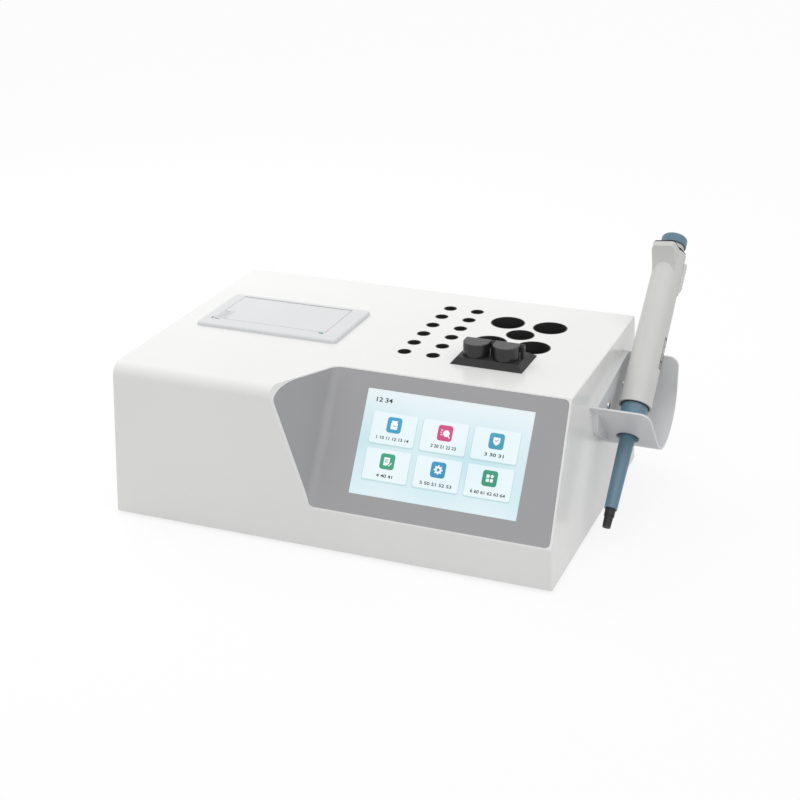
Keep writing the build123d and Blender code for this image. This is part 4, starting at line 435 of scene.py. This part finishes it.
def lit(name, glow, top, middle, low, cloud):
    """A colour that changes up the slanted panel, with soft clouds, on glossy glass."""
    material = finish(name, middle, rough=0.2, drift=0.0, patch_mm=40.0,
                      grain_mm=1.5, bump_mm=0.0004, spread=0.02)
    tree = material.node_tree
    shader = tree.nodes["Principled BSDF"]
    place = tree.nodes["Texture Coordinate"].outputs["Object"]
    split = tree.nodes.new("ShaderNodeSeparateXYZ")
    tree.links.new(place, split.inputs[0])
    climb = tree.nodes.new("ShaderNodeMapRange")
    for end, height in (("From Min", SCREEN_LOW), ("From Max", SCREEN_HIGH)):
        climb.inputs[end].default_value = (panel @ Vector((0, height * MM, 0))).z
    tree.links.new(split.outputs["Z"], climb.inputs["Value"])
    ramp = tree.nodes.new("ShaderNodeValToRGB")
    tree.links.new(climb.outputs["Result"], ramp.inputs["Fac"])
    ramp.color_ramp.elements[0].color = tone(*low)
    ramp.color_ramp.elements[1].color = tone(*top)
    ramp.color_ramp.elements.new(0.5).color = tone(*middle)
    share = stretched(tree, noise(tree, place, CLOUD_MM, CLOUD_DETAIL), 0.0, CLOUD_SHARE)
    colours = blended(tree, share, ramp.outputs["Color"], tone(*cloud))
    tree.links.new(colours, shader.inputs["Base Color"])
    tree.links.new(colours, shader.inputs["Emission Color"])
    shader.inputs["Emission Strength"].default_value = glow
    return material


finishes["screen_glass"] = lit("display page", glow=0.10, top=(240, 249, 252),
                               middle=(194, 232, 239), low=(224, 244, 251), cloud=(236, 248, 252))
print("the page climbs", SCREEN_HIGH - SCREEN_LOW, "mm up the panel")

# %% [markdown]
# ## Colours of the menu
# The cards are paler than the page, with a faint shade below them. The icons come in four
# colours, each lighter towards the top of the page and deeper towards its foot. The figures
# are print, so they only need a dark ink.

# %% Cards, icons, signs and ink
card_paint = lit("menu card", glow=0.13, top=(238, 249, 254), middle=(229, 246, 252),
                 low=(236, 248, 253), cloud=(243, 251, 254))
card_shade = lit("card shadow", glow=0.10, top=(196, 224, 230), middle=(186, 218, 224),
                 low=(196, 226, 232), cloud=(204, 230, 236))
sign_white = lit("glyph white", glow=0.14, top=(250, 252, 253), middle=(247, 250, 252),
                 low=(244, 249, 251), cloud=(252, 253, 254))
icon_blue = lit("icon blue", glow=0.12, top=(70, 176, 216), middle=(52, 150, 196),
                low=(44, 132, 176), cloud=(60, 164, 206))
icon_teal = lit("icon teal", glow=0.12, top=(84, 178, 204), middle=(52, 146, 178),
                low=(42, 128, 160), cloud=(66, 160, 190))
icon_pink = lit("icon pink", glow=0.12, top=(216, 96, 150), middle=(204, 60, 118),
                low=(180, 34, 92), cloud=(210, 78, 134))
icon_green = lit("icon green", glow=0.12, top=(92, 196, 156), middle=(52, 158, 122),
                 low=(32, 122, 94), cloud=(70, 176, 140))
label_ink = finish("label ink", (34, 40, 48), rough=0.3, drift=0.1, patch_mm=3.0,
                   grain_mm=0.5, bump_mm=0.0004)
icon_paint = (icon_blue, icon_pink, icon_teal, icon_green, icon_blue, icon_green)
print("menu colours made for", len(icon_paint), "icons")

# %% [markdown]
# ## Giving each part its finish
# The measured parts arrive with plain stand-in colours, each under the name of its finish.
# The new finish goes into the same place, so no mesh changes.

# %% Dress the measured parts
dressed = 0
for part in parts.values():
    for place in part.material_slots:
        place.material = finishes[place.material.name.split(".")[0]]
        dressed += 1
print(dressed, "surfaces dressed")

# %% [markdown]
# ## Holding and choosing
# The small pieces are modelled as by hand. First everything is let go, because an operator
# works on all that is selected. A face or an edge is then chosen in edit mode by where it is
# or where it points, and such a test is a small function of its own.

# %% Helpers that select
def let_go():
    """Leave edit mode and select nothing."""
    if bpy.context.mode != "OBJECT":
        bpy.ops.object.mode_set(mode="OBJECT")
    bpy.ops.object.select_all(action="DESELECT")


def hold(piece):
    """Select this piece alone."""
    let_go()
    piece.select_set(True)
    bpy.context.view_layer.objects.active = piece


def choose(piece, kind, test):
    """In edit mode, select the faces or edges that pass a test."""
    hold(piece)
    bpy.ops.object.mode_set(mode="EDIT")
    bpy.ops.mesh.select_mode(type=kind)
    bpy.ops.mesh.select_all(action="DESELECT")
    shape = bmesh.from_edit_mesh(piece.data)
    for part in {"FACE": shape.faces, "EDGE": shape.edges}[kind]:
        if test(part):
            part.select_set(True)
    shape.select_flush_mode()
    bmesh.update_edit_mesh(piece.data)


def stands_up(edge):
    """An edge that runs along Z."""
    run = edge.verts[1].co - edge.verts[0].co
    return abs(run.z) > 0.99 * run.length


def beyond(axis, limit_mm):
    """A test for edges whose two ends lie past a limit along one axis."""
    return lambda edge: all(getattr(end.co, axis) > limit_mm * MM for end in edge.verts)


print("faces and edges can be chosen")

# %% [markdown]
# ## Blanks
# A piece starts as a block or a round blank. It is easiest to think of each as standing on
# its own foot at some height, so the middle that the operator asks for is worked out here,
# and the size is applied at once, because a bevel on a scaled piece would come out uneven.

# %% Helpers that make blanks
def box(name, width, depth, height, bottom=0.0):
    """A block on its own foot, in millimetres."""
    let_go()
    bpy.ops.mesh.primitive_cube_add(size=1.0, location=(0, 0, (bottom + height / 2) * MM),
                                    scale=(width * MM, depth * MM, height * MM))
    piece = bpy.context.object
    piece.name = name
    bpy.ops.object.transform_apply(location=True, rotation=True, scale=True)
    return piece


def disc(name, radius, height, bottom=0.0, sides=32):
    """A round blank on its own foot, in millimetres."""
    let_go()
    bpy.ops.mesh.primitive_cylinder_add(vertices=sides, radius=radius * MM, depth=height * MM,
                                        location=(0, 0, (bottom + height / 2) * MM))
    piece = bpy.context.object
    piece.name = name
    bpy.ops.object.transform_apply(location=True, rotation=True, scale=True)
    return piece


print("blanks can be made")

# %% [markdown]
# ## Shaping a blank
# Edges are rounded with a bevel. Other blanks are cut out of the piece or fused with it by a
# boolean, whose exact solver keeps the skin closed, and a blank that was used is thrown away.

# %% Helpers that shape
def round_edges(piece, test, width_mm, steps):
    """Bevel the edges that pass a test."""
    choose(piece, "EDGE", test)
    bpy.ops.mesh.bevel(offset=width_mm * MM, segments=steps, affect="EDGES")
    bpy.ops.object.mode_set(mode="OBJECT")


def combined(piece, way, others):
    """Cut other pieces out of a piece, or unite them with it, and throw them away."""
    for other in others:
        hold(piece)
        change = piece.modifiers.new("change", "BOOLEAN")
        change.operation, change.solver, change.object = way, "EXACT", other
        bpy.ops.object.modifier_apply(modifier="change")
        bpy.data.objects.remove(other)
    return piece


def cut(piece, *tools):
    """Take the tools' shapes out of a piece."""
    return combined(piece, "DIFFERENCE", tools)


def fused(piece, *others):
    """Unite overlapping pieces into one skin."""
    return combined(piece, "UNION", others)


print("blanks can be rounded, cut and fused")

# %% [markdown]
# ## Copies, places and the last touch
# What repeats is modelled once, as a pattern, and copied. A finished piece is laid in its
# place, and the place is applied, so the object itself stays at the origin. The last touch
# smooths the piece, paints it and hangs it on the body that it moves with.

# %% Helpers that copy, lay and finish
SMOOTH_BELOW = 35


def twin(piece, name):
    """A copy with a mesh of its own."""
    let_go()
    copy = piece.copy()
    copy.data = piece.data.copy()
    copy.name = name
    bpy.context.scene.collection.objects.link(copy)
    return copy


def laid(piece, place):
    """A piece laid in its place, with the place kept in its mesh."""
    piece.matrix_world = place @ piece.matrix_world
    hold(piece)
    bpy.ops.object.transform_apply(location=True, rotation=True, scale=True)
    return piece


def copied(pattern, places):
    """A twin of the pattern in each place. The pattern itself is thrown away."""
    copies = [laid(twin(pattern, pattern.name), place) for place in places]
    bpy.data.objects.remove(pattern)
    return copies


def joined(pieces, name):
    """Several pieces made one."""
    let_go()
    for piece in pieces:
        piece.select_set(True)
    bpy.context.view_layer.objects.active = pieces[0]
    bpy.ops.object.join()
    pieces[0].name = name
    return pieces[0]


def done(piece, body, slot_name, paint=None, angle=SMOOTH_BELOW):
    """Smooth, paint and hang a finished piece on the body that it moves with."""
    hold(piece)
    bpy.ops.object.shade_smooth_by_angle(angle=math.radians(angle))
    piece.data.materials.clear()
    piece.data.materials.append(paint or finishes[slot_name])
    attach(piece, body)
    return piece


print("edges below", SMOOTH_BELOW, "degrees are smoothed")

# %% [markdown]
# ## The menu on the screen
# The page carries six cards in two rows, each with a coloured icon. A card is a block with
# rounded upright edges, thinner than a sheet of paper, and it lies in the shallow step
# between the glass and the bezel. A slightly larger and darker plate, a little lower on the
# page, makes its shadow.

# %% Cards, their shadows and their icons
SHEET, SHADE_SHEET = 0.03, 0.02
CARD_WIDTH, CARD_DEPTH, CARD_CORNER = 35.6, 23.8, 1.6
SHADE_MARGIN, SHADE_CORNER, SHADE_DROP = 1.0, 2.0, 0.7
ICON_WIDTH, ICON_DEPTH, ICON_CORNER, ICON_RIGHT, ICON_UP = 11.6, 11.9, 2.2, 0.2, 3.2
SHADE_LIFT, CARD_LIFT, ICON_LIFT = 0.005, 0.03, 0.065
CARD_COLUMNS, CARD_ROWS = (26.0, 66.6, 106.9), (52.4, 24.6)


def on_glass(across, up, lift):
    """A place on the glass: across, up and off it, in millimetres."""
    return panel @ shift(SCREEN_LEFT + across, SCREEN_LOW + up, GLASS + lift)


def plate(name, width, depth, corner, thickness=SHEET):
    """A thin plate with rounded corners."""
    piece = box(name, width, depth, thickness)
    round_edges(piece, stands_up, corner, 5)
    return piece


def show(piece, across, up, lift, paint):
    """Lay a piece on the glass as a part of the picture that it shows."""
    return done(laid(piece, on_glass(across, up, lift)), "case", "screen_glass", paint)


shade = plate("card_shadow", CARD_WIDTH + SHADE_MARGIN, CARD_DEPTH + SHADE_MARGIN, SHADE_CORNER,
              SHADE_SHEET)
card = plate("menu_card", CARD_WIDTH, CARD_DEPTH, CARD_CORNER)
icon = plate("menu_icon", ICON_WIDTH, ICON_DEPTH, ICON_CORNER)
card_places = [(across, up) for up in CARD_ROWS for across in CARD_COLUMNS]
icon_places = [(across + ICON_RIGHT, up + ICON_UP) for across, up in card_places]
for number, (card_place, icon_place) in enumerate(zip(card_places, icon_places)):
    across, up = card_place
    show(twin(shade, f"card_shadow_{number + 1}"), across, up - SHADE_DROP, SHADE_LIFT, card_shade)
    show(twin(card, f"menu_card_{number + 1}"), across, up, CARD_LIFT, card_paint)
    show(twin(icon, f"menu_icon_{number + 1}"), *icon_place, ICON_LIFT, icon_paint[number])
for pattern in (shade, card, icon):
    bpy.data.objects.remove(pattern)
print(len(card_places), "cards of", CARD_WIDTH, "by", CARD_DEPTH, "mm")

# %% [markdown]
# ## Signs out of bars and dots
# Each icon carries a white sign as thin as the card. A sign is put together from small bars
# and dots, as a sign painter would do. What has to stay open is cut away with bars that
# reach right through.

# %% Bars and dots
THROUGH = 1.0


def bar(width, depth, across=0.0, up=0.0, turn=0.0, thickness=SHEET):
    """One bar of a sign: its size, its middle and its turn in degrees."""
    piece = box("bar", width, depth, thickness, (SHEET - thickness) / 2)
    return laid(piece, shift(across, up, 0.0) @ turned(turn))


def dot(radius, across=0.0, up=0.0, thickness=SHEET):
    """One round dot of a sign."""
    piece = disc("dot", radius, thickness, (SHEET - thickness) / 2, 28)
    return laid(piece, shift(across, up, 0.0))


print("signs are", SHEET, "mm thick")

# %% [markdown]
# ## The first three signs
# A sample cup with a lid, a lens beside a list of results, and a shield with a tick. The
# shield's point is drawn out of the foot of a block: extrude, narrow, extrude and narrow
# again.

# %% Cup, lens and shield
def sample_cup():
    """A cup with a neck, a lid and a mark on its side."""
    cup, neck, lid = bar(5.4, 4.8, up=-0.8), bar(4.0, 1.2, up=2.1), bar(5.0, 0.9, up=2.9)
    mark = bar(2.4, 0.7, up=-0.6, thickness=THROUGH)
    return cut(fused(cup, neck, lid), mark)


def results_lens():
    """A lens with its grip, beside the three lines of a list."""
    lens, grip = dot(2.5, 1.1, -0.1), bar(0.9, 2.2, 3.2, -2.4, turn=45)
    lines = [bar(1.7, 0.6, -2.6, 2.2), bar(1.3, 0.6, -3.0, 0.4), bar(1.7, 0.6, -2.6, -1.4)]
    return joined([lens, grip, *lines], "disc_sign")


def shield():
    """A block whose lower end is drawn out to a blunt point."""
    piece = box("shield", 5.2, 3.2, SHEET)
    choose(piece, "FACE", lambda face: face.normal.y < -0.9)
    for longer, narrower in ((1.5, 0.72), (1.2, 0.12)):
        bpy.ops.mesh.extrude_region_move(TRANSFORM_OT_translate={"value": (0, -longer * MM, 0)})
        bpy.ops.transform.resize(value=(narrower, 1, 1), center_override=(0, 0, 0))
    bpy.ops.object.mode_set(mode="OBJECT")
    return laid(piece, shift(0, 1.2, 0))


def ticked_shield():
    """A shield with a tick cut through it."""
    blank = shield()
    short = bar(0.55, 1.5, -0.75, 0.15, turn=45, thickness=THROUGH)
    long = bar(0.55, 2.8, 0.55, 0.55, turn=-40, thickness=THROUGH)
    return cut(blank, short, long)


signs = [sample_cup(), results_lens(), ticked_shield()]
print(len(signs), "signs")

# %% [markdown]
# ## The other three signs
# A written page with a pen, a gear and four tiles. A gear is nothing but a disc with four
# long bars across it, each turned an eighth of a circle further, and a hole in its middle.

# %% Page, gear and tiles
def written_page():
    """A page with two lines on it and a pen across its edge."""
    lines = [bar(2.6, 0.6, -0.7, up, thickness=THROUGH) for up in (1.2, -0.3)]
    pen_gap = bar(0.8, 4.4, 1.6, -1.7, turn=-40, thickness=THROUGH)
    sheet = cut(bar(4.6, 6.2, -0.5), *lines, pen_gap)
    return joined([sheet, bar(0.7, 3.4, 2.6, -1.9, turn=-40)], "page_sign")


def gear():
    """A disc with eight teeth and a hole in its middle."""
    teeth = [bar(1.3, 6.8, turn=turn) for turn in (0, 45, 90, 135)]
    return cut(fused(dot(2.5), *teeth), dot(1.2, thickness=THROUGH))


def four_tiles():
    """Three square tiles and one that stands on its corner."""
    tiles = [bar(2.3, 2.3, across, up) for across, up in ((-1.6, 1.6), (-1.6, -1.5), (1.5, -1.5))]
    return joined([*tiles, bar(2.1, 2.1, 1.6, 1.7, turn=45)], "tiles_sign")


SIGN_LIFT = 0.1
signs += [written_page(), gear(), four_tiles()]
for number, (sign, icon_place) in enumerate(zip(signs, icon_places), 1):
    sign.name = f"menu_glyph_{number}"
    show(sign, *icon_place, SIGN_LIFT, sign_white)
print(len(signs), "signs on their icons")

# %% [markdown]
# ## Labels
# The menu is labelled with plain numbers: a row below each icon and a short one in the
# page's upper corner. A row starts as text, becomes a mesh, and is then drawn out to its
# length.

# %% Rows of plain numbers
TYPE_SIZE, TYPE_WEIGHT = 3.0, 0.06
LABEL_HEIGHT, LABEL_LIFT, HEADING_LIFT = 2.5, 0.09, 0.03
HEADING_WIDTH, HEADING_HEIGHT, HEADING_PLACE = 13.0, 3.5, (14.8, 73.5)


def numbers(name, text, width, height):
    """A row of figures, centred, with this width and this height in millimetres."""
    let_go()
    bpy.ops.object.text_add(location=(0, 0, 0))
    row = bpy.context.object
    row.name = name
    row.data.body = text
    row.data.align_x, row.data.align_y = "CENTER", "CENTER"
    row.data.size, row.data.extrude = TYPE_SIZE * MM, SHEET * MM / 2
    row.data.offset = TYPE_WEIGHT * MM
    bpy.ops.object.convert(target="MESH")
    bpy.ops.object.origin_set(type="ORIGIN_GEOMETRY", center="BOUNDS")
    row.location = (0, 0, 0)
    row.scale = (width * MM / row.dimensions.x, height * MM / row.dimensions.y, 1)
    bpy.ops.object.transform_apply(location=True, rotation=True, scale=True)
    return row


# By their height on the page: the text of each label, its length and its place across.
labels = {
    45.2: (("1 10 11 12 13 14", 26.0, 26.7), ("2 20 21 22 23", 20.0, 67.3), ("3 30 31", 15.0, 107.0)),
    16.7: (("4 40 41", 13.0, 25.8), ("5 50 51 52 53", 25.0, 66.8), ("6 60 61 62 63 64", 27.0, 107.4)),
}
for up, row in labels.items():
    for text, width, across in row:
        label = numbers(f"menu_label_{text[0]}", text, width, LABEL_HEIGHT)
        show(label, across, up, LABEL_LIFT, label_ink)
heading = numbers("page_heading", "12 34", HEADING_WIDTH, HEADING_HEIGHT)
show(heading, *HEADING_PLACE, HEADING_LIFT, label_ink)
print("labels", LABEL_HEIGHT, "mm high, heading", HEADING_HEIGHT)

# %% [markdown]
# ## A screw with a cross recess
# The measured screws have plain flat heads. A real pan head is domed and takes a cross-point
# driver. It is modelled by rounding the rim of a blank and cutting two slots into it.

# %% One domed screw
HEAD_RADIUS, SHANK_RADIUS, SLOT_LENGTH, SLOT_WIDTH = 3.0, 1.5, 3.2, 0.6
DOME_SHARE, SLOT_FLOOR_SHARE = 0.6, 0.45


def screw(shank, head):
    """A pan-head screw whose seat is at height zero, with this shank and head height."""
    piece = disc("screw", HEAD_RADIUS, head, sides=36)
    round_edges(piece, beyond("z", head * 0.99), head * DOME_SHARE, 4)
    for width, depth in ((SLOT_LENGTH, SLOT_WIDTH), (SLOT_WIDTH, SLOT_LENGTH)):
        cut(piece, box("slot", width, depth, head, head * SLOT_FLOOR_SHARE))
    return joined([piece, disc("shank", SHANK_RADIUS, shank, -shank, 20)], "screw")


print("a head of", 2 * HEAD_RADIUS, "mm with a cross of", SLOT_LENGTH)

# %% [markdown]
# ## Every screw in its place
# The screws sit in rows and columns: two hold the pipette's holder on the slanting wall,
# four close the casing from below, four hold the feet, and eight hold the rear panel and the
# fan. One of each length is modelled and copied. Those of one kind are joined, and take the
# place of their plain stand-ins.

# %% Domed screws
PAN_HEAD, FOOT_HEAD = 1.6, 1.1
HOLDER_SHANK, CASE_SHANK, FOOT_SHANK, PANEL_SHANK, FAN_SHANK = 8.0, 12.0, 8.0, 7.5, 17.7
WALL_FACE, WALL_OUT, HOLDER_PLATE, HOLDER_YS = (351.82, 0, 90), (127.4, 0, 6.2), 4.6, (140, 188)
CASE_XS, CASE_YS, FOOT_XS, FOOT_YS = (9, 341), (14, 230.5), (34, 316), (34, 210.5)
PANEL_XS, PANEL_ZS, PANEL_Y = (36, 244), (26, 78), 244.5
FAN_XS, FAN_ZS, FAN_Y = (180, 230), (27, 77), 242.7

seat = Vector(WALL_FACE) + Vector(WALL_OUT).normalized() * HOLDER_PLATE
holder = [placed(spot(seat.x, y, seat.z), BACK, WALL_OUT) for y in HOLDER_YS]
below = [placed(spot(x, y, 0), RIGHT, DOWN) for x in CASE_XS for y in CASE_YS]
feet = [placed(spot(x, y, -FOOT_HEAD), RIGHT, DOWN) for x in FOOT_XS for y in FOOT_YS]
rear = [placed(spot(x, PANEL_Y, z), RIGHT, BACK) for x in PANEL_XS for z in PANEL_ZS]
fan = [placed(spot(x, FAN_Y, z), RIGHT, BACK) for x in FAN_XS for z in FAN_ZS]
screws = {
    "holder_screws": copied(screw(HOLDER_SHANK, PAN_HEAD), holder),
    "case_screws": copied(screw(CASE_SHANK, PAN_HEAD), below),
    "foot_screws": copied(screw(FOOT_SHANK, FOOT_HEAD), feet),
    "rear_screws": copied(screw(PANEL_SHANK, PAN_HEAD), rear) + copied(screw(FAN_SHANK, PAN_HEAD), fan),
}
for node, copies in screws.items():
    piece = done(joined(copies, f"{node}_domed"), "case", "plated_steel")
    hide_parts(node)
print("domed screws for", list(screws))

# %% [markdown]
# ## The pipette's push button and dial
# The button is a hollow cap, so it can travel down over the dial that sets the volume. The
# dial is a pale ribbed ring that stays on the handle. Its narrower foot is black as painted
# shade, for the shaded gap between the button and the dial, and a thin black ring at the
# handle's lower rim is painted shade for the dark gap there. Grooves are cut with a ring of
# thin rods, in one go.

# %% Push button and dial
BUTTON_RADIUS, BUTTON_FOOT, BUTTON_HEIGHT, BUTTON_TOP_ROUND = 10.5, 248.0, 8.0, 2.2
DIAL_RADIUS, DIAL_BORE = 9.1, 5.4


def ring(name, outer, inner, bottom, height, sides=64):
    """A short tube about the pipette's axis."""
    return cut(disc(name, outer, height, bottom, sides),
               disc("bore", inner, height + 2, bottom - 1, sides))


def grooved(piece, radius, groove, bottom, height, count):
    """Cut upright grooves into a round side."""
    turns = [2 * math.pi * number / count for number in range(count)]
    rods = copied(disc("groove", groove, height, bottom, 8),
                  [shift(radius * math.cos(turn), radius * math.sin(turn), 0) for turn in turns])
    cut(piece, joined(rods, "grooves"))


button = disc("ribbed_push_button", BUTTON_RADIUS, BUTTON_HEIGHT, BUTTON_FOOT, 72)
cut(button, ring("hollow", outer=9.45, inner=5.0, bottom=BUTTON_FOOT - 1.0, height=7.2))
round_edges(button, beyond("z", BUTTON_FOOT + BUTTON_HEIGHT - 0.1), BUTTON_TOP_ROUND, 5)
grooved(button, BUTTON_RADIUS + 0.12, groove=0.3, bottom=249.1, height=4.2, count=36)
done(laid(button, pipette), "plunger", "pipette_blue", angle=40)
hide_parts("push_button")
dial = ring("volume_dial", outer=DIAL_RADIUS, inner=DIAL_BORE, bottom=244.4, height=3.3)
grooved(dial, DIAL_RADIUS + 0.05, groove=0.22, bottom=244.0, height=4.2, count=48)
done(laid(dial, pipette), "pipette", "pipette_white")
# Painted shade: the narrower foot under the dial is black for the shaded gap between the button and the
# dial.
foot = ring("volume_dial_gap_shade", outer=8.7, inner=DIAL_BORE, bottom=241.72, height=2.66)
done(laid(foot, pipette), "pipette", "black_plastic")
# Painted shade: a thin black ring stands for the dark gap at the handle's lower rim.
gap_shade = ring("handle_rim_gap_shade", outer=11.5, inner=10.45, bottom=102.1, height=0.4)
done(laid(gap_shade, pipette), "pipette", "black_plastic")
print("button, dial, foot and rim seal")

# %% [markdown]
# ## Ejector ridges and the volume figures
# The ejector has cross ridges for the thumb. The window shows four plain white figures, one
# below the other, which is how such a pipette shows its volume.

# %% Ridges and figures on the handle
EJECTOR_TURN, RIDGE_COUNT, RIDGE_LOW, RIDGE_STEP = 36.0, 7, 212.0, 3.0
RIDGE_HIGH, RIDGE_WIDTH, RIDGE_THICK, RIDGE_OUT, RIDGE_ROUND = 0.7, 5.4, 0.5, 14.45, 0.15
WINDOW_TURN, WINDOW_OUT, FIGURE_WIDTH, FIGURE_HEIGHT = 10.0, 12.06, 2.7, 4.2
FIGURE_TOP, FIGURE_STEP = 160.0, 6.6

ridge = laid(box("ridge", RIDGE_THICK, RIDGE_WIDTH, RIDGE_HIGH, RIDGE_LOW), shift(RIDGE_OUT, 0, 0))
round_edges(ridge, beyond("x", RIDGE_OUT + RIDGE_ROUND), RIDGE_ROUND, 2)
ridges = joined(copied(ridge, [shift(0, 0, number * RIDGE_STEP) for number in range(RIDGE_COUNT)]),
                "ejector_ridges")
done(laid(ridges, pipette @ turned(EJECTOR_TURN)), "ejector", "pipette_white")
upright = Matrix(((0, 0, 1, 0), (1, 0, 0, 0), (0, 1, 0, 0), (0, 0, 0, 1)))
for number, text in enumerate("0500"):
    figure = numbers(f"volume_figure_{number + 1}", text, FIGURE_WIDTH, FIGURE_HEIGHT)
    laid(figure, shift(WINDOW_OUT, 0, FIGURE_TOP - number * FIGURE_STEP) @ upright)
    laid(figure, pipette @ turned(WINDOW_TURN))
    done(figure, "pipette", "pipette_white", finishes["paper_white"])
print(RIDGE_COUNT, "ridges and the figures")

# %% [markdown]
# ## Small things on the printer and the back
# The corner mark on the printer is inlaid in dark grey. The serial socket gets its two hex
# nuts, and the data socket its gold contacts.

# %% Corner mark, hex nuts and contacts
MARK_FOOT, MARK_HEIGHT, MARK_SPOT, LEG_SPOT = 129.05, 1.5, (35.8, 107.75, 0), (32.6, 109.0, 0)
NUT_RADIUS, NUT_HEIGHT, NUT_CORNER, NUT_XS, NUT_Y, NUT_Z = 2.7, 4.6, 0.4, (99.6, 124.4), 242.5, 34
CONTACT_COUNT, CONTACT_STEP, CONTACT_SPOT = 4, 1.6, (139.6, 237.8, 35.6)

mark = box("corner_mark", width=8.4, depth=1.7, height=MARK_HEIGHT, bottom=MARK_FOOT)
leg = box("mark_leg", width=2.0, depth=4.2, height=MARK_HEIGHT, bottom=MARK_FOOT)
mark = fused(laid(mark, shift(*MARK_SPOT)), laid(leg, shift(*LEG_SPOT)))
done(laid(mark, casing), "case", "black_plastic", finishes["cap_grey"])
nut = disc("nut", NUT_RADIUS, NUT_HEIGHT, sides=6)
round_edges(nut, beyond("z", NUT_HEIGHT - 0.1), NUT_CORNER, 2)
cut(nut, disc("bore", radius=1.4, height=4.0, bottom=1.2, sides=20))
nuts = copied(nut, [placed(spot(x, NUT_Y, NUT_Z), RIGHT, BACK) for x in NUT_XS])
done(joined(nuts, "serial_hex_nuts"), "case", "plated_steel")
contact = laid(box("contact", width=0.9, depth=5.6, height=0.12), shift(*CONTACT_SPOT))
contacts = copied(contact, [shift(number * CONTACT_STEP, 0, 0) for number in range(CONTACT_COUNT)])
contacts = laid(joined(contacts, "data_contacts"), casing)
done(contacts, "case", "pin_steel", finishes["contact_gold"])
print("mark,", len(NUT_XS), "nuts and", CONTACT_COUNT, "contacts")
